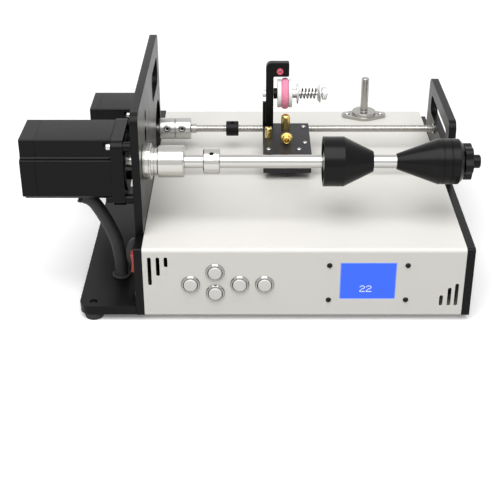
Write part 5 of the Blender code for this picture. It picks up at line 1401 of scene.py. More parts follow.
@dataclass(frozen=True)
class Motor:
    """One motor with its front flange, notched body, rear cap and rotor."""

    name: str
    y: float
    z: float
    length: float
    cap: float
    shaft_end: float
    body: str
    outlet: Point | None = None
    plate: float = PLATE
    flange_side: float = 86.0
    flange_face: float = -20.0
    body_face: float = -35.0
    half: float = 40.0
    top: float = 43.0
    wall: float = 33.0
    ledge: float = 19.0
    low: float = 30.3
    inset: float = 30.0
    foot: float = 23.0
    pilot: float = 36.5
    bolt_offset: float = 34.8
    bolt_head: float = 4.25
    spacer: float = 6.0
    rotor_radius: float = 26.0
    shaft: float = 7.0
    journal: float = 5.0
    outlet_radius: float = 9.2
    outlet_length: float = 5.0
    outlet_slope: float = CABLE_SLOPE

    def offsets(self) -> list[Spot]:
        """The four bolt places round the motor's axis."""
        ends = (-self.bolt_offset, self.bolt_offset)
        return [(self.y + dy, self.z + dz) for dy in ends for dz in ends]

    def section(self) -> Outline:
        """The body's section: notched at its upper corners, cut back under its lower ones.

        Returns:
            The outline.
        """
        side = ((self.foot, -self.half, 3), (self.inset, -self.low, 1), (self.half, -self.low, 2.5),
                (self.half, self.ledge, 2.5), (self.wall, self.ledge, 4), (self.wall, self.top, 2))
        other = [(-dy, dz, radius) for dy, dz, radius in reversed(side)]
        return rounded([(self.y + dy, self.z + dz, radius) for dy, dz, radius in (*side, *other)], 8)

    def flange(self) -> Mesh:
        """The front flange with its pilot and spacers.

        Returns:
            The mesh.
        """
        half = self.flange_side / 2
        outline = rounded([(self.y + u, self.z + v, 10) for u,
                           v in ((-half, -half), (half, -half), (half, half), (-half, half))], 12)
        hole = circle(self.y, self.z, self.shaft + 0.3)
        plate = softened(prism(outline, Axis.X, self.body_face, self.flange_face, [hole]), 0.8, 3)
        face = self.flange_face
        pilot = lathe([(self.shaft + 0.3, -1, 0), (self.pilot, -1, 0), (self.pilot, 2, 0.5),
                       (self.shaft + 0.3, 2, 0)],
                      (face, self.y, self.z), SIDE_X)
        posts = [rod((face - 1, y, z), (-self.plate - 0.3, y, z), self.spacer, 32, 0.4) for y,
                 z in self.offsets()]
        return merged([plate, pilot, *posts])

    def stator(self) -> Mesh:
        """The body, with the cable outlet under it where it has one.

        Returns:
            The mesh.
        """
        front = self.body_face - 0.3
        bore = circle(self.y, self.z, self.rotor_radius + 1)
        seats = [rod((front - 9, y, z), (front + 1, y, z), self.bolt_head + 0.5, 32) for y,
                 z in self.offsets()]
        block = prism(self.section(), Axis.X, front - self.length + 0.3, front, [bore])
        body = softened(combined(block, [merged(seats)]), 0.6, 2)
        if self.outlet is None:
            return body
        way = Vector((math.cos(self.outlet_slope), 0, -math.sin(self.outlet_slope)))
        end = Vector(self.outlet)
        start = end - way * self.outlet_length
        return merged([body, rod(tuple(start), tuple(end), self.outlet_radius, 48, 0.8)])

    def rear(self) -> Mesh:
        """The rear cap, with a round groove in its face.

        Returns:
            The mesh.
        """
        front = self.body_face - self.length - 0.3
        back = front - self.cap
        cap = prism(self.section(), Axis.X, back, front)
        groove = lathe([(17, -1, 0), (21, -1, 0), (20.4, 1.2, 0.3), (17.6, 1.2, 0.3)], (back, self.y, self.z),
                       SIDE_X)
        seat = rod((front - 6.3, self.y, self.z), (front + 1, self.y, self.z), self.journal + 0.3)
        return softened(combined(cap, [groove, seat]), 0.9, 3)

    def rotor(self) -> Mesh:
        """The rotor with its shaft and rear journal.

        Returns:
            The mesh.
        """
        rear = self.body_face - self.length
        front = self.body_face - 4.3
        profile = [(0, self.shaft_end, 0), (self.shaft, self.shaft_end, 0.5), (self.shaft, front, 0),
                   (self.rotor_radius, front, 0.5), (self.rotor_radius, rear + 4, 0.5),
                   (self.journal, rear + 4, 0),
                   (self.journal, rear - 6, 0.4), (0, rear - 6, 0)]
        return lathe(profile, (0, self.y, self.z), SIDE_X, 64, 2)

    def build(self, shop: Workshop) -> None:
        """Make the motor's pieces and its bolts.

        Args:
            shop: what makes the finished pieces.
        """
        shop.add(f"{self.name}_flange", self.flange(), MOTOR_COAT, f"{self.name}_motor_flange")
        shop.add(f"{self.name}_stator", self.stator(), MOTOR_COAT, f"{self.name}_motor_body")
        shop.add(f"{self.name}_rear_cap", self.rear(), MOTOR_COAT, f"{self.name}_motor_cap")
        steel = SPINDLE_STEEL if self.body == "spindle" else SCREW_STEEL
        shop.add(f"{self.name}_rotor", self.rotor(), steel, f"{self.name}_motor_rotor", self.body)
        heads = [(self.body_face, y, z) for y, z in self.offsets()]
        shop.screws(f"{self.name}_motor_bolts", Head.CAP, heads, [-SIDE_X] * 4, self.bolt_head, SCREW_ZINC)
        shanks = [rod((-self.plate - 0.3, y, z), (-0.2, y, z), 2.5, 24, 0.3) for y, z in self.offsets()]
        shop.add(f"{self.name}_bolt_ends", merged(shanks), SCREW_ZINC)


def slanted(slope: float) -> Vector:
    """The way that a set screw faces, in degrees up from the front."""
    return Vector((0, -math.cos(math.radians(slope)), math.sin(math.radians(slope))))


def drilled(mesh: Mesh, x: float, line: Spot, inner: float, outer: float,
            radius: float, slope: float) -> Mesh:
    """The mesh with one radial hole for a set screw from inner out to outer, countersunk a little."""
    hole = lathe([(0, inner, 0), (radius, inner, 0), (radius, outer - 0.5, 0), (radius + 1.2, outer + 0.7, 0),
                  (0, outer + 0.7, 0)], (x, *line), slanted(slope), 32, 1)
    return combined(mesh, [hole])


@dataclass(frozen=True)
class SpindleLine:
    """Bearing housing, coupling, spindle, stop collar, both cones and the clamp knob."""

    line: Spot = SPINDLE_LINE
    flange_radius: float = 22.5
    flange_end: float = 10.7
    nose_radius: float = 17.5
    nose_end: float = 18.7
    spigot: float = 14.7
    motor_bore: float = 7.3
    coupling: Ring = (19.1, 51.7, 20.0)
    join: float = 35.0
    shaft: float = 8.5
    bore: float = 8.8
    shaft_end: float = 420.4
    knob_end: float = 409.0
    collar: Ring = (75.1, 95.8, 16.0)
    hole: float = 2.5
    slopes: Spot = (151.0, 61.0)
    left_start: float = 224.1
    left_shoulder: float = 250.0
    left_tip: float = 287.1
    left_radius: float = 31.25
    left_tip_radius: float = 13.0
    recess: float = 5.0
    rim: float = 5.0
    hub: float = 13.5
    right_tip: float = 316.0
    right_tip_radius: float = 9.8
    right_shoulder: float = 367.5
    right_radius: float = 28.5
    right_end: float = 396.7
    right_chamfer: float = 4.2
    right_end_radius: float = 24.3
    grooves: Spot = (371.0, 381.5)
    groove_width: float = 1.5
    groove_depth: float = 1.2
    knob_start: float = 399.2
    knob_radius: float = 21.5
    knob_lobe: float = 1.5
    knob_lobes: int = 6

    def turned(self, profile: Profile, sides: int = 128) -> Mesh:
        """A body turned about the spindle's axis."""
        return lathe(profile, (0, *self.line), SIDE_X, sides)

    def bearing(self) -> Mesh:
        """Flanged bearing housing with a groove in its rim and a ring on its nose.

        Returns:
            The mesh.
        """
        rim = self.flange_radius
        nose = self.nose_radius
        return self.turned([
            (self.motor_bore, -10, 0), (self.spigot, -10, 0), (self.spigot, 0.3, 0), (rim, 0.3, 0.4),
            (rim, 7.6, 0.3), (rim - 0.8, 7.8, 0.1), (rim - 0.8, 8.5, 0.1), (rim, 8.7, 0.3),
            (rim, self.flange_end, 0.7), (nose + 2.2, self.flange_end, 0.2),
                            (nose + 1.6, self.flange_end - 0.7, 0.1),
            (nose + 0.2, self.flange_end - 0.7, 0), (nose, 13.6, 0.2), (nose - 0.6, 13.8, 0.1),
            (nose - 0.6, 14.4, 0.1), (nose, 14.6, 0.2), (nose, self.nose_end, 0.8),
                            (self.motor_bore, self.nose_end, 0)])

    def sleeve(self) -> Mesh:
        """The coupling sleeve.

        Returns:
            The mesh.
        """
        start, end, radius = self.coupling
        mesh = self.turned([(self.motor_bore, start, 0), (radius, start, 0.6), (radius, end - 1.6, 0.3),
                            (radius - 1.6, end, 0.3), (self.bore, end, 0.3), (self.bore, self.join, 0),
                            (self.motor_bore, self.join, 0)])
        return drilled(mesh, (self.join + end) / 2, self.line, self.bore - 0.3, radius, self.hole,
                       self.slopes[0])

    def stop(self) -> Mesh:
        """The stop collar.

        Returns:
            The mesh.
        """
        start, end, radius = self.collar
        mesh = self.turned([(self.bore, start, 0.3), (radius - 1.2, start, 0.2), (radius, start + 1.2, 0.2),
                            (radius, end - 1.2, 0.2), (radius - 1.2, end, 0.2), (self.bore, end, 0.3)])
        return drilled(mesh, (start + end) / 2, self.line, self.bore - 0.3, radius, self.hole, self.slopes[1])

    def left_cone(self) -> Mesh:
        """The left cone with its hollow rear.

        Returns:
            The mesh.
        """
        floor = self.left_start + self.recess
        rim = self.left_radius - self.rim
        return self.turned([
            (self.left_tip_radius, self.left_tip, 0.8), (self.left_radius, self.left_shoulder, 0.8),
            (self.left_radius, self.left_start, 0.7), (rim, self.left_start, 0.5), (rim, floor, 1.2),
            (self.hub, floor, 1.0), (self.hub, self.left_start + 1, 0.6),
                            (self.bore, self.left_start + 1, 0.3),
            (self.bore, self.left_tip, 0.3)])

    def right_cone(self) -> Mesh:
        """The right cone with its grooves.

        Returns:
            The mesh.
        """
        radius = self.right_radius
        profile = [(self.right_end_radius, self.right_end, 0.6),
                   (radius, self.right_end - self.right_chamfer, 0.8)]
        for place in reversed(self.grooves):
            profile += [(radius, place + self.groove_width, 0.2),
                        (radius - self.groove_depth, place + self.groove_width, 0.1),
                        (radius - self.groove_depth, place, 0.1), (radius, place, 0.2)]
        profile += [(radius, self.right_shoulder, 0.8), (self.right_tip_radius, self.right_tip, 0.3),
                    (self.bore, self.right_tip, 0), (self.bore, self.right_end, 0)]
        return self.turned(profile)

    def band(self) -> Mesh:
        """The rounded ring in the right cone's second groove, in the cone's own dark finish.

        Returns:
            The mesh.
        """
        low = self.grooves[1] + 0.15
        high = low + self.groove_width - 0.3
        outer = self.right_radius - 0.25
        inner = self.right_radius - self.groove_depth + 0.05
        return self.turned([(inner, low, 0), (outer, low, 0.3), (outer, high, 0.3), (inner, high, 0)])

    def knob(self) -> Mesh:
        """The lobed clamp knob with its hub and a shallow face recess.

        Returns:
            The mesh.
        """
        y, z = self.line
        points = self.knob_lobes * 20
        polar = [(math.tau * index / points,
                  self.knob_lobe * math.cos(self.knob_lobes * math.tau * index / points))
                 for index in range(points)]
        outline = [(y + (self.knob_radius + wave) * math.cos(angle), z
                    + (self.knob_radius + wave) * math.sin(angle))
                   for angle, wave in polar]
        lobes = prism(outline, Axis.X, self.knob_start, self.knob_end)
        start = self.right_end + 0.3
        face = lathe([(self.bore - 1, self.knob_end - 0.8, 0), (15.0, self.knob_end - 0.8, 0.5),
                      (16.0, self.knob_end + 1, 0), (self.bore - 1, self.knob_end + 1, 0)], (0, y, z), SIDE_X)
        bore = rod((start - 1, y, z), (self.knob_end + 1, y, z), self.bore)
        body = softened(combined(lobes, [face, bore]), 1.0, 3)
        hub = self.turned([(self.bore, start, 0), (13.0, start, 0.4), (13.0, self.knob_start + 0.5, 0),
                           (self.bore, self.knob_start + 0.5, 0)])
        return merged([body, hub])

    def shaft_mesh(self, start: float, end: float, chamfer: float) -> Mesh:
        """A length of the spindle, its far end broken by a chamfer."""
        return self.turned([(0, start, 0), (self.shaft, start, 0), (self.shaft, end - chamfer, 0.2),
                            (self.shaft - chamfer, end, 0.2), (0, end, 0)], 96)

    def build(self, shop: Workshop) -> None:
        """Make the spindle's pieces.

        Args:
            shop: what makes the finished pieces.
        """
        shop.add("bearing_housing", self.bearing(), SPINDLE_STEEL, "spindle_bearing_housing")
        shop.add("coupling_sleeve", self.sleeve(), SPINDLE_STEEL, "spindle_coupling", "spindle")
        shop.add("spindle_bar", self.shaft_mesh(self.join + 0.3, self.knob_end, 0.02), SPINDLE_CHROME,
                 "spindle_shaft", "spindle")
        shop.add("spindle_dark_end", self.shaft_mesh(self.knob_end + 0.05, self.shaft_end, 1.2),
                 DARK_ANODISED, body="spindle")
        shop.add("stop_collar", self.stop(), SPINDLE_STEEL, "spindle_stop_collar", "spindle")
        shop.add("cone_left", self.left_cone(), DARK_ANODISED, "left_cone", "left_cone")
        sleeve = self.turned([(self.bore, self.left_start + 0.6, 0), (10.6, self.left_start + 0.6, 0.4),
                              (10.6, self.left_start + 4, 0), (self.bore, self.left_start + 4, 0)])
        shop.add("cone_left_bush", sleeve, SPINDLE_STEEL, body="left_cone")
        shop.add("cone_right", self.right_cone(), DARK_ANODISED, "right_cone", "right_cone")
        shop.add("cone_right_band", self.band(), DARK_ANODISED, body="right_cone")
        shop.add("knob", self.knob(), DARK_ANODISED, "clamp_knob", "clamp_knob")
        middles = ((self.join + self.coupling[1]) / 2, (self.collar[0] + self.collar[1]) / 2)
        ways = [slanted(slope) for slope in self.slopes]
        places = [tuple(Vector((x, *self.line)) + way * (radius - 1.6))
                  for x, way, radius in zip(middles, ways, (self.coupling[2], self.collar[2]))]
        shop.screws("spindle_set_screws", Head.GRUB, places, ways, self.hole - 0.1, DARK_SCREW, "spindle")


@dataclass(frozen=True)
class ScrewLine:
    """Traverse coupling, lead screw, stop collar, end bush and guide rod."""

    line: Spot = SCREW_LINE
    halves: Spots = ((2.7, 24.85), (25.15, 47.5))
    radius: float = 15.3
    bores: Spot = (7.3, 5.3)
    set_screws: Spot = (13.6, 34.9)
    set_radius: float = 4.9
    set_depth: float = 4.6
    set_slope: float = 21.0
    collar_slope: float = 80.0
    core: float = 4.55
    crest: float = 4.98
    wire: float = 0.55
    lead: float = 10.0
    starts: int = 5
    shoulder: float = 6.3
    shoulder_low: float = 47.8
    shoulder_high: float = 55.5
    thread_end: float = 397.2
    journal: float = 3.0
    end: float = 408.0
    collar: Ring = (98.3, 116.2, 10.7)
    rod_line: Spot = GUIDE_LINE
    rod_radius: float = 4.0
    rod_ends: Spot = (-5.7, 405.7)
    bush_profile: Profile = ((3.3, 410, 0), (5, 410, 0.3), (5, 399.7, 0), (7.5, 399.7, 0.2),
                             (7.5, 397.5, 0.4),
                             (3.3, 397.5, 0))
    rim_profile: Profile = ((2.5, 2.9, 0), (3.7, 2.9, 0), (3.7, 3.6, 0.3), (2.5, 3.6, 0.3))
    grub_place: float = 3.2

    def turned(self, profile: Profile, sides: int = 96) -> Mesh:
        """A body turned about the lead screw's axis."""
        return lathe(profile, (0, *self.line), SIDE_X, sides)

    def half(self, index: int) -> Mesh:
        """One half of the coupling with its set screw's hole.

        Args:
            index: 0 on the motor's side, 1 on the screw's.

        Returns:
            The mesh.
        """
        low, high = self.halves[index]
        bore = self.bores[index]
        mesh = self.turned([(bore, low, 0.3), (self.radius - 0.8, low, 0.2), (self.radius, low + 0.8, 0.2),
                            (self.radius, high - 0.8, 0.2), (self.radius - 0.8, high, 0.2),
                            (bore, high, 0.3)])
        return drilled(mesh, self.set_screws[index], self.line, self.radius - self.set_depth, self.radius,
                       self.set_radius, self.set_slope)

    def screw(self, shop: Workshop) -> Mesh:
        """The lead screw: its core, shoulder and journal, and the thread's starts.

        Args:
            shop: what makes the finished pieces.

        Returns:
            The mesh.
        """
        core = self.turned([(0, self.end, 0), (self.journal, self.end, 0.4),
                            (self.journal, self.thread_end, 0),
                            (self.core, self.thread_end, 0.3), (self.core, self.shoulder_high, 0),
                            (self.shoulder, self.shoulder_high, 0.5), (self.shoulder, self.shoulder_low, 0.5),
                            (5, self.shoulder_low, 0), (5, 25.3, 0.4), (0, 25.3, 0)], 64)
        length = self.thread_end - self.shoulder_high - 2 * self.wire
        thread = shop.helix.bake(point_mesh([(0, 0, 0)]), {
            "Radius": self.crest - self.wire, "Length": length, "Turns": length / self.lead,
                                                           "Wire": self.wire,
            "Starts": self.starts, "Detail": 24, "Sides": 6, "Material": shop.material(SCREW_STEEL)})
        turn = SIDE_Z.rotation_difference(SIDE_X).to_matrix().to_4x4()
        thread.transform(Matrix.Translation((self.shoulder_high + self.wire, *self.line)) @ turn)
        return merged([core, tidy(thread, MERGE)])

    def build(self, shop: Workshop) -> None:
        """Make the traverse line's pieces.

        Args:
            shop: what makes the finished pieces.
        """
        for index, side in enumerate(("motor", "screw")):
            shop.add(f"coupling_{side}_side", self.half(index), COUPLING_ALUMINIUM,
                     f"traverse_coupling_{side}_half", "screw")
        way = slanted(self.set_slope)
        places = [tuple(Vector((x, *self.line)) + way * (self.radius - self.set_depth))
                  for x in self.set_screws]
        # Painted shade: the set screws are black so that their outer ring paints the shade inside the
        # threaded holes. The zinc ring on each stands for the screw's own metal rim.
        shop.screws("coupling_set_screws", Head.GRUB,
                    [tuple(Vector(place) + way * self.grub_place) for place in places],
                    [way] * 2, self.set_radius - 0.1, DARK_SCREW, "screw")
        rims = [lathe(self.rim_profile, place, way, 48, 2) for place in places]
        shop.add("coupling_screw_rims", merged(rims), SCREW_ZINC, body="screw")
        shop.add("threaded_screw", self.screw(shop), SCREW_STEEL, "lead_screw", "screw")
        low, high, radius = self.collar
        collar = self.turned([(5.3, low, 0.2), (radius, low, 0.9), (radius, high, 0.9), (5.3, high, 0.2)])
        shop.add("black_stop_collar",
                 drilled(collar, (low + high) / 2, self.line, 5.3, radius, 2.3, self.collar_slope),
                 BLACK_COAT, "screw_stop_collar", "screw")
        shop.add("end_bush", self.turned(self.bush_profile), SCREW_STEEL, "lead_screw_bearing")
        y, z = self.rod_line
        guide = rod((self.rod_ends[0], y, z), (self.rod_ends[1], y, z), self.rod_radius, 64, 0.4)
        shop.add("round_guide", guide, GUIDE_CHROME, "guide_rod")


@dataclass(frozen=True)
class Carriage:
    """The travelling block with its nut, bushing, bracket, brass guides and screws."""

    left: float = 151.3
    width: float = 65.6
    front: float = 196.5
    rear: float = 313.0
    flat_rear: float = 305.0
    bottom: float = 114.0
    top: float = 142.5
    rear_top: float = 139.2
    boss: Ring = (220.0, 110.0, 21.0)
    nut_bore: float = 7.0
    bushing_bore: float = 6.9
    rod_line: Spot = GUIDE_LINE
    bar: Spot = (155.4, 166.1)
    arm_tip: float = 187.9
    arm_bottom: float = 217.5
    bracket_top: float = 237.7
    bracket_corner: float = 7.5
    bracket_y: Spot = (293.0, 303.0)
    strip_left: float = 150.9
    strip_top: float = 178.5
    eye: Spot = (175.0, 225.2)
    barrel: Dome = (*BARREL_PLACE, 6.4, 164.8)
    thumb: Dome = (*THUMB_PLACE, 4.9, 160.0)
    nozzle: Spot = (NOZZLE_X, 231.2)
    nozzle_rim: float = 8.3
    nozzle_profile: Profile = ((0, -7.6, 0), (6.6, -7.6, 4.4), (6.6, -0.8, 0.2), (8.3, -0.4, 0.9),
                               (8.3, 2.6, 0.9),
                               (5.8, 3.0, 0.3), (5.4, 9.8, 1.0), (3.4, 9.8, 0.5), (2.4, 7.2, 0.3),
                               (2.4, -3.5, 0), (0, -3.5, 0))
    eye_profile: Profile = ((2.2, 1.5, 0.4), (4.7, 1.3, 0.6), (4.7, 0.3, 0), (3.4, 0.3, 0), (3.4, -10.3, 0),
                            (1.9, -10.3, 0), (1.9, 0.3, 0.5))
    screws: Spots = ((209.4, 292.0), (209.4, 235.0), (200.2, 212.0), (158.5, 212.0))

    def block(self) -> Mesh:
        """The block with its bores and the boss under its front.

        Returns:
            The mesh.
        """
        outline = rounded([(self.front, self.bottom, 0), (self.rear, self.bottom, 0),
                           (self.rear, self.rear_top, 0.8),
                           (self.flat_rear, self.top, 1.5), (self.front, self.top, 0)])
        right = self.left + self.width
        holes = [circle(*SCREW_LINE, self.nut_bore), circle(*self.rod_line, self.bushing_bore)]
        body = prism(outline, Axis.X, self.left, right, holes)
        stud = rod((self.thumb[0], self.thumb[1], self.top - 6.3),
                   (self.thumb[0], self.thumb[1], self.top + 1), 2.5)
        y, low, radius = self.boss
        boss = rod(((self.left + right) / 2, y, low), ((self.left + right) / 2, y, self.bottom + 0.5), radius,
                   96, 0.6)
        return merged([softened(combined(body, [stud]), 0.6, 3), boss])

    def bracket(self) -> Mesh:
        """The bar with its arm, and the strip beside its foot.

        Returns:
            The mesh.
        """
        foot = self.top + 0.3
        low, high = self.bar
        outline = rounded([(low, foot, 0), (high, foot, 0), (high, self.arm_bottom, 1.5),
                           (self.arm_tip, self.arm_bottom, 2),
                           (self.arm_tip, self.bracket_top, 2), (low, self.bracket_top, self.bracket_corner)],
                          10)
        bar = prism(outline, Axis.Y, *self.bracket_y, [circle(*self.eye, 3.7)])
        stud = rod((low - 2, *STUD_LINE), (high + 2, *STUD_LINE), 3.3)
        strip = block((self.strip_left, self.bracket_y[0] + 2, foot),
                      (low - 0.1, self.bracket_y[1] - 2, self.strip_top))
        return merged([softened(combined(bar, [stud]), 0.5), softened(strip, 0.5)])

    def eyelet_post(self) -> Mesh:
        """The brass eyelet that faces the front: dome, wide flange and nozzle with its hole."""
        return lathe(self.nozzle_profile, (*self.nozzle, self.top + 0.3 + self.nozzle_rim), -SIDE_Y, 80)

    def dome(self, spot: Dome, crown: float) -> Mesh:
        """A round-topped post at a place on the block.

        Args:
            spot: its place, radius and top.
            crown: the round of its top.

        Returns:
            The mesh.
        """
        x, y, radius, top = spot
        foot = self.top + 0.3
        return lathe([(0, top, 0), (radius, top, crown), (radius, foot + 1.2, 0.3),
                      (radius - 0.5, foot + 1.0, 0.1),
                      (radius - 0.5, foot, 0), (0, foot, 0)], (x, y, 0), SIDE_Z, 64, 8)

    def build(self, shop: Workshop) -> None:
        """Make the carriage's pieces.

        Args:
            shop: what makes the finished pieces.
        """
        right = self.left + self.width
        shop.add("carriage_body", self.block(), CARRIAGE_COAT, "carriage_block", "carriage")
        nut = lathe([(5.3, self.left + 0.4, 0.2), (6.7, self.left + 0.4, 0.4), (6.7, right - 0.4, 0.4),
                     (5.3, right - 0.4, 0.2)], (0, *SCREW_LINE), SIDE_X, 64)
        shop.add("lead_nut", nut, NUT_BRASS, "carriage_lead_nut", "carriage")
        bushing = lathe([(4.3, self.left, 0.2), (6.6, self.left, 0.3), (6.6, right, 0.3), (4.3, right, 0.2)],
                        (0, *self.rod_line), SIDE_X, 64)
        shop.add("rod_bushing", bushing, NUT_BRASS, "carriage_bushing", "carriage")
        shop.add("bracket", self.bracket(), BLACK_COAT, "line_bracket", "carriage")
        eye = lathe(self.eye_profile, (self.eye[0], self.bracket_y[0], self.eye[1]), -SIDE_Y, 64)
        shop.add("red_eyelet", eye, EYE_RED, "top_line_eyelet", "carriage")
        shop.add("brass_barrel", self.dome(self.barrel, 4.2), BARREL_BRASS, "line_guide_barrel", "carriage")
        x, y, radius, top = self.thumb
        mark = rod((x, y - radius - 1, top - 5.5), (x, y - radius + 1.2, top - 5.5), 1.7, 32)
        stud = rod((x, y, self.top - 5.7), (x, y, self.top + 1), 2.2, 32)
        screw = merged([combined(self.dome(self.thumb, 2.6), [mark]), stud])
        shop.add("thumb_screw_brass", screw, THUMB_BRASS, "brass_thumb_screw", "thumb_screw")
        shop.add("brass_nozzle_post", self.eyelet_post(), EYELET_BRASS, "brass_line_eyelet", "carriage")
        places = [(x, y, self.top) for x, y in self.screws]
        shop.screws("carriage_screws", Head.BUTTON, places, [SIDE_Z] * len(places), 3.3, SCREW_ZINC,
                    "carriage")


@dataclass(frozen=True)
class Tensioner:
    """The stud beside the bracket, with its wheel, felt, discs, spring and knurled nut."""

    origin: Point = (151.3, *STUD_LINE)
    stud: float = 3.0
    spacer: Ring = (15.1, 19.9, 7.6)
    wheel: Ring = (20.2, 41.2, 19.9)
    felt: Ring = (26.3, 35.9, 22.0)
    hub: float = 10.0
    spring: Spot = (51.1, 77.0)
    spring_radius: float = 7.0
    spring_wire: float = 0.8
    curls: float = 5.0
    nut: Ring = (83.4, 90.6, 9.2)
    knurls: int = 54
    bore: float = 3.3
    stud_profile: Profile = ((0, 92.6, 0), (3.0, 92.6, 0.5), (3.0, 3.8, 0), (5.0, 3.8, 0), (5.0, -0.7, 1.0),
                             (0, -0.7, 0))
    disc_profile: Profile = ((3.3, 51.1, 0), (9.5, 51.1, 1.0), (14.9, 49.8, 1.0), (14.9, 47.4, 1.0),
                             (9.5, 48.6, 1.0), (6.6, 48.6, 0.4), (6.6, 41.5, 0.3), (3.3, 41.5, 0))
    washer_profile: Profile = ((3.3, 77.0, 0), (9.5, 77.0, 0.8), (13.5, 80.2, 0.9), (13.5, 82.6, 0.8),
                               (9.5, 79.6, 0.8), (5.0, 79.6, 0.5), (5.0, 83.1, 0.3), (3.3, 83.1, 0))

    def turned(self, profile: Profile, sides: int = 96) -> Mesh:
        """A body turned about the stud."""
        return lathe(profile, self.origin, SIDE_X, sides)

    def lying(self, mesh: Mesh, start: float) -> Mesh:
        """A body made about Z, laid along the stud from a place on it.

        Args:
            mesh: the body.
            start: where its zero goes along the stud.

        Returns:
            The same mesh.
        """
        x, y, z = self.origin
        mesh.transform(Matrix.Translation((x + start, y, z)) @ PLANES[Axis.X])
        return mesh

    def build(self, shop: Workshop) -> None:
        """Make the tensioner's pieces.

        Args:
            shop: what makes the finished pieces.
        """
        shop.add("stud", self.turned(self.stud_profile, 48), TENSION_STEEL, "tension_stud", "carriage")
        low, high, radius = self.spacer
        spacer = self.turned([(self.stud, low, 0), (radius, low, 0.5), (radius, high, 0.5),
                              (self.stud, high, 0)])
        shop.add("stud_spacer", spacer, BLACK_COAT, body="carriage")
        start, end, rim = self.wheel
        wheel = self.turned([(self.bore, start, 0), (rim, start, 1.2), (rim, 26.0, 0.8), (self.hub, 26.0, 0),
                             (self.hub, 36.2, 0),
                             (rim, 36.2, 0.8), (rim, end, 1.2), (8.6, end, 0.4), (8.2, end - 0.8, 0.2),
                             (self.bore, end - 0.8, 0)])
        shop.add("white_wheel", wheel, WHEEL_WHITE, "tension_wheel", "tension_wheel")
        low, high, radius = self.felt
        felt = self.turned([(self.hub + 0.3, low, 0), (radius, low, 3.4), (radius, high, 3.4),
                            (self.hub + 0.3, high, 0)], 128)
        shop.add("felt_ring", felt, FELT, "tension_felt", "tension_wheel")
        shop.add("pressure_disc", self.turned(self.disc_profile), TENSION_STEEL, "tension_pressure_disc",
                 "carriage")
        length = self.spring[1] - self.spring[0] - 2 * self.spring_wire - 0.6
        coil = shop.helix.bake(point_mesh([(0, 0, 0)]), {
            "Radius": self.spring_radius, "Length": length, "Turns": self.curls, "Wire": self.spring_wire,
            "Starts": 1, "Detail": 48, "Sides": 16, "Material": shop.material(SPRING_STEEL)})
        coil = self.lying(tidy(coil, MERGE), self.spring[0] + self.spring_wire + 0.3)
        shop.add("coil_spring", coil, SPRING_STEEL, "tension_spring", "carriage")
        shop.add("cone_washer", self.turned(self.washer_profile), TENSION_STEEL, "tension_cone_washer",
                 "carriage")
        low, high, radius = self.nut
        core = self.turned([(self.bore, low, 0), (radius - 1.1, low, 0.3), (radius - 0.3, low + 0.9, 0.2),
                            (radius - 0.3, high - 0.9, 0.2), (radius - 1.1, high, 0.3), (self.bore, high, 0)])
        ridges = shop.ridges.bake(point_mesh([(0, 0, 0)]), {
            "Radius": radius - 0.35, "Count": self.knurls, "Ridge": (0.6, 0.5, high - low - 2.2),
            "Material": shop.material(TENSION_ALUMINIUM)})
        ridges = self.lying(tidy(ridges, MERGE), (low + high) / 2)
        shop.add("knurled_nut", merged([core, ridges]), TENSION_ALUMINIUM, "tension_nut", "tension_nut")


@dataclass(frozen=True)
class SupplyPost:
    """The rod that a supply spool stands on."""

    x: float = POST_PLACE[0]
    y: float = POST_PLACE[1]
    foot: float = 103.3
    reach: float = 34.0
    half_depth: float = 19.5
    thick: float = 5.0
    hub: float = 18.25
    hub_top: float = 113.3
    rod_radius: float = 6.0
    top: float = 166.5
    pitch: float = 25.8

    def oval(self) -> Outline:
        """The flange's outline: the hull of one large and two small circles.

        Returns:
            The outline.
        """
        small = self.reach - self.pitch
        tangent = math.acos((self.half_depth - small) / self.pitch)
        arcs = ((self.x + self.pitch, small, -tangent, tangent),
                (self.x, self.half_depth, tangent, math.pi - tangent),
                (self.x - self.pitch, small, math.pi - tangent, math.pi + tangent),
                (self.x, self.half_depth, math.pi + tangent, math.tau - tangent))
        return [(centre + radius * math.cos(angle), self.y + radius * math.sin(angle))
                for centre, radius, start, end in arcs
                for angle in (start + (end - start) * step / 18 for step in range(19))]

    def build(self, shop: Workshop) -> None:
        """Make the post and its bolts.

        Args:
            shop: what makes the finished pieces.
        """
        flange = softened(tidy(prism(self.oval(), Axis.Z, self.foot, self.foot + self.thick), 0.01), 0.8, 3)
        low = self.foot + self.thick - 0.5
        post = lathe([(0, self.top, 0), (self.rod_radius, self.top, 1.6),
                      (self.rod_radius, self.hub_top, 0.8),
                      (self.hub, self.hub_top, 1.0), (self.hub, low, 0), (0, low, 0)], (self.x, self.y, 0),
                     SIDE_Z)
        shop.add("post", merged([flange, post]), POST_STEEL, "supply_post")
        places = [(self.x + side * self.pitch, self.y, self.foot + self.thick) for side in (-1, 1)]
        shop.screws("post_bolts", Head.BUTTON, places, [SIDE_Z] * 2, 4.5, SCREW_ZINC)


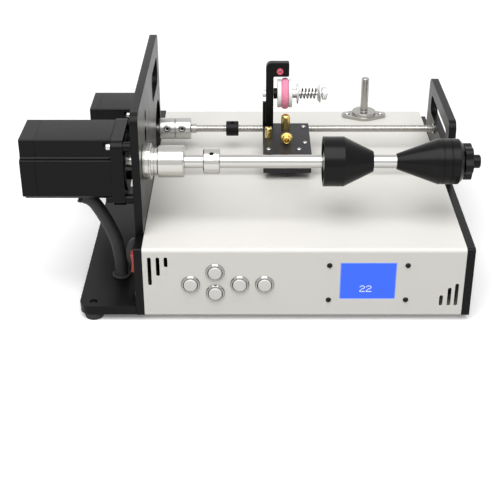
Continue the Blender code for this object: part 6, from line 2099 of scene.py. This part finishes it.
@dataclass(frozen=True)
class Display:
    """The lit screen in its window, its digits, and the four screws beside it."""

    low: Spot = WINDOW_LOW
    high: Spot = WINDOW_HIGH
    front: float = 0.3
    back: float = 2.2
    screws: Spots = ((231.5, 31.0), (231.5, 80.4), (328.2, 31.0), (328.2, 80.4))
    pitch: float = 1.35
    dot: float = 1.15
    dot_thick: float = 0.06
    dot_sunk: float = 0.04
    digit: tuple[str, ...] = ("01110", "10001", "00001", "00110", "01000", "10000", "11111")
    digit_place: Spot = (270.5, 51.0)

    def dots(self) -> list[Point]:
        """The lit dots of a plain two-figure number."""
        return [(self.digit_place[0] + (figure * 6 + column) * self.pitch, self.front - self.dot_sunk,
                 self.digit_place[1] - row * self.pitch)
                for figure in range(2) for row, line in enumerate(self.digit)
                for column, lit in enumerate(line) if lit == "1"]

    def build(self, shop: Workshop) -> None:
        """Make the screen and its board.

        Args:
            shop: what makes the finished pieces.
        """
        pane = softened(block((self.low[0], self.front, self.low[1]),
                              (self.high[0], self.back, self.high[1])), 0.3)
        shop.add("screen_pane", pane, DISPLAY, "display_window")
        digits = shop.dots.bake(point_mesh(self.dots()), {"Dot": (self.dot, self.dot_thick, self.dot),
                                                           "Material": shop.material(DIGITS)})
        shop.add("screen_digits", digits, DIGITS)
        shop.add("screen_board", softened(shop.copied("display_module"), 0.2), BOARD, "display_module")
        places = [(x, 0.0, z) for x, z in self.screws]
        shop.screws("display_screws", Head.BUTTON, places, [-SIDE_Y] * 4, 3.5, DARK_SCREW)


@dataclass(frozen=True)
class PowerSwitch:
    """The rocker switch on the left plate with its curved guard."""

    y: float = 52.0
    face: float = -10.3
    width: float = 22.0
    low: float = 40.0
    high: float = 74.0
    proud: float = 4.5
    inset: float = 3.0
    neck: float = 20.0
    guard_top: float = 87.0
    guard_thick: float = 3.0
    guard_proud: float = 16.0
    rocker_width: float = 14.0
    rocker_proud: float = 9.0
    wall: float = 2.5
    dish: float = 1.4
    back: float = 0.9
    swing: float = math.radians(7)

    def housing(self) -> Mesh:
        """The body with its guard and the rocker's pocket.

        Returns:
            The mesh.
        """
        front, rear = self.y - self.width / 2, self.y + self.width / 2
        body = block((self.face - self.proud, front, self.low), (self.face, rear, self.high))
        neck = block((self.face - self.proud / 2, front + self.inset, self.low + self.inset),
                     (self.face + self.neck, rear - self.inset, self.high - self.inset))
        middle, half = (self.low + self.guard_top) / 2, (self.guard_top - self.low) / 2
        arc = [math.pi * index / 32 for index in range(33)]
        outline = [(self.face - self.guard_proud * math.sin(angle), middle + half * math.cos(angle))
                   for angle in arc]
        guard = prism(outline, Axis.Y, rear - self.guard_thick, rear)
        reach = self.rocker_width / 2 + 0.3
        pocket = block((self.face - self.proud - 1, self.y - reach, self.low + self.wall),
                       (self.face + self.proud, self.y + reach, self.high - self.wall))
        return softened(combined(combined(body, [neck, guard], "UNION"), [pocket]), 0.5)

    def rocker(self) -> Mesh:
        """The red rocker, dished in a curve between its ends.

        Returns:
            The mesh.
        """
        middle = (self.low + self.high) / 2
        tip = (self.high - self.low) / 2 - self.wall - 0.6 - math.tan(self.swing) * self.rocker_proud
        axis = self.face - self.rocker_proud / 4
        outer = self.face - self.rocker_proud
        curve = [(outer + self.dish * math.cos(math.pi * share / 20) ** 2, middle + tip * share / 10)
                 for share in range(-9, 10)]
        inner = self.face - self.back
        outline = [(inner, middle - tip / 2), (axis, middle - tip), (outer, middle - tip), *curve,
                   (outer, middle + tip), (axis, middle + tip), (inner, middle + tip / 2)]
        half = self.rocker_width / 2
        return softened(prism(outline, Axis.Y, self.y - half, self.y + half), 0.6, 3)

    def build(self, shop: Workshop) -> None:
        """Make the switch."""
        shop.add("switch_body", self.housing(), DARK_PLASTIC, "power_switch_body")
        shop.add("switch_rocker_red", self.rocker(), ROCKER_RED, "power_switch_rocker", "switch_rocker")


@dataclass(frozen=True)
class MotorCable:
    """The sleeved cable from the spindle motor into the base plate's grommet."""

    outlet: Point = CABLE_OUTLET
    slope: float = CABLE_SLOPE
    radius: float = 8.25
    route: Spots = ((-63.0, 125.0), (-50.0, 100.0), (-40.5, 74.0), (-36.8, 50.0), (-36.0, 35.0))
    end: Point = (-36.0, SPINDLE_LINE[0], 15.0)
    flange: float = 12.5
    neck: float = 10.5
    low: float = 12.0
    seat: float = 21.3
    top: float = 24.0

    def build(self, shop: Workshop) -> None:
        """Make the sleeve and its grommet.

        Args:
            shop: what makes the finished pieces.
        """
        way = Vector((math.cos(self.slope), 0, -math.sin(self.slope)))
        start = Vector(self.outlet) + way * 0.3
        controls = [start, start + way * self.radius]
        controls += [Vector((x, self.outlet[1], z)) for x, z in self.route]
        controls.append(Vector(self.end))
        path = [controls[0], *curved(controls[1:], 2.5)]
        shop.add("sleeve", swept(path, self.radius, 48), SLEEVE, "cable_sleeve")
        bore = self.radius + 0.3
        grommet = lathe([(bore, self.top, 0.6), (self.flange, self.top, 1.2), (self.flange, self.seat, 0.5),
                         (self.neck, self.seat, 0), (self.neck, self.low, 0), (bore, self.low, 0)],
                        (self.end[0], self.end[1], 0), SIDE_Z, 64)
        shop.add("grommet", grommet, RUBBER, "cable_grommet")


@dataclass(frozen=True)
class Electronics:
    """The boards and the power inlet, which keep their packed forms with broken edges."""

    edge: float = 0.25

    def build(self, shop: Workshop) -> None:
        """Make the inner pieces and the inlet."""
        for name, node, finish in (("board", "control_board", BOARD),
                                   ("supply", "power_supply", SUPPLY_METAL),
                                   ("inlet", "power_inlet", DARK_PLASTIC)):
            shop.add(name, softened(shop.copied(node), self.edge), finish, node)


@dataclass(frozen=True)
class Studio:
    """Floor, light and camera."""

    floor_reach: float = 6.0
    floor_colour: Colour = (0.95, 0.95, 0.95)
    bounce_colour: Colour = (0.31, 0.305, 0.30)
    floor_glow: Colour = (0.14, 0.14, 0.14)
    far_glow: Colour = (0.75, 0.75, 0.75)
    fade: Spot = (0.7, 3.0)
    sky: float = 0.48
    key_power: float = 70.0
    key_size: float = 2.4
    key_place: Point = (-0.15, -1.15, 2.3)
    camera_place: Point = (-0.00095, -1.4021, 0.7575)
    camera_pitch: float = math.radians(60.91)
    lens: float = 79.36
    sensor: float = 36.0
    shift: float = -0.0046
    aim: Point = (0, 0, 0.12)

    @staticmethod
    def seen(graph: Graph) -> Wire:
        """One for the camera, reflections and transmission, else zero."""
        camera, glossy, through = (graph.node("ShaderNodeLightPath", output=f"Is {kind} Ray")
                                   for kind in ("Camera", "Glossy", "Transmission"))
        return camera.or_else(glossy).or_else(through)

    def floor(self) -> None:
        """A plain floor, pale where it is seen, which throws less light back on the machine."""
        work = bmesh.new()
        bmesh.ops.create_grid(work, x_segments=1, y_segments=1, size=self.floor_reach)
        mesh = finished(work, "floor")
        graph = Surface("floor")
        colour = graph.blend(self.seen(graph), self.bounce_colour, self.floor_colour)
        reach = (graph.along(Axis.X) ** 2 + graph.along(Axis.Y) ** 2) ** 0.5
        far = graph.node("ShaderNodeMapRange", None, {0: reach, 1: self.fade[0], 2: self.fade[1]})
        glow = graph.blend(self.seen(graph), (0, 0, 0), graph.blend(far, self.floor_glow, self.far_glow))
        mesh.materials.append(graph.close(Base_Color=colour, Roughness=0.9, Emission_Color=glow,
                                          Emission_Strength=1.0))
        holder("floor", mesh)

    def sky_light(self) -> None:
        """A white world for what the camera and reflections see, and a softer one that lights."""
        world = bpy.data.worlds.new("studio")
        bpy.context.scene.world = world
        world.use_nodes = True
        world.node_tree.nodes.clear()
        graph = Graph(world.node_tree)
        strength = self.seen(graph) * (1 - self.sky) + self.sky
        background = graph.node("ShaderNodeBackground", None, {"Color": (1, 1, 1, 1), "Strength": strength})
        graph.node("ShaderNodeOutputWorld", None, {"Surface": background})

    def lamp(self, name: str, place: Point, power: float, size: float) -> None:
        """A soft square lamp that looks at the machine.

        Args:
            name: its name.
            place: where it stands.
            power: its watts.
            size: its side.
        """
        data = bpy.data.lights.new(name, "AREA")
        data.energy = power
        data.size = size
        obj = holder(name, data)
        obj.location = place
        obj.rotation_euler = (Vector(self.aim) - Vector(place)).to_track_quat("-Z", "Y").to_euler()

    def camera(self) -> None:
        """The camera at the photograph's angle."""
        data = bpy.data.cameras.new("camera")
        data.lens = self.lens
        data.sensor_width = self.sensor
        data.shift_x = self.shift
        obj = holder("camera", data)
        obj.location = self.camera_place
        obj.rotation_euler = (self.camera_pitch, 0, 0)
        bpy.context.scene.camera = obj
        bpy.context.scene.view_settings.view_transform = "Standard"

    def build(self) -> None:
        """Set the whole studio up."""
        self.floor()
        self.sky_light()
        self.lamp("key", self.key_place, self.key_power, self.key_size)
        self.camera()


def main() -> None:
    """Build every sub-assembly in order."""
    logging.basicConfig(level=logging.INFO, format="%(message)s")
    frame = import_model()
    shop = Workshop(frame)
    Housing().build(shop)
    SidePlates().build(shop)
    Motor("spindle", *SPINDLE_LINE, 92.5, 18.5, 35.0, "spindle", CABLE_OUTLET).build(shop)
    Motor("traverse", *SCREW_LINE, 45.7, 11.3, 25.0, "screw").build(shop)
    SpindleLine().build(shop)
    ScrewLine().build(shop)
    Carriage().build(shop)
    Tensioner().build(shop)
    SupplyPost().build(shop)
    Display().build(shop)
    PowerSwitch().build(shop)
    MotorCable().build(shop)
    Electronics().build(shop)
    Studio().build()


if __name__ == "__main__":
    main()
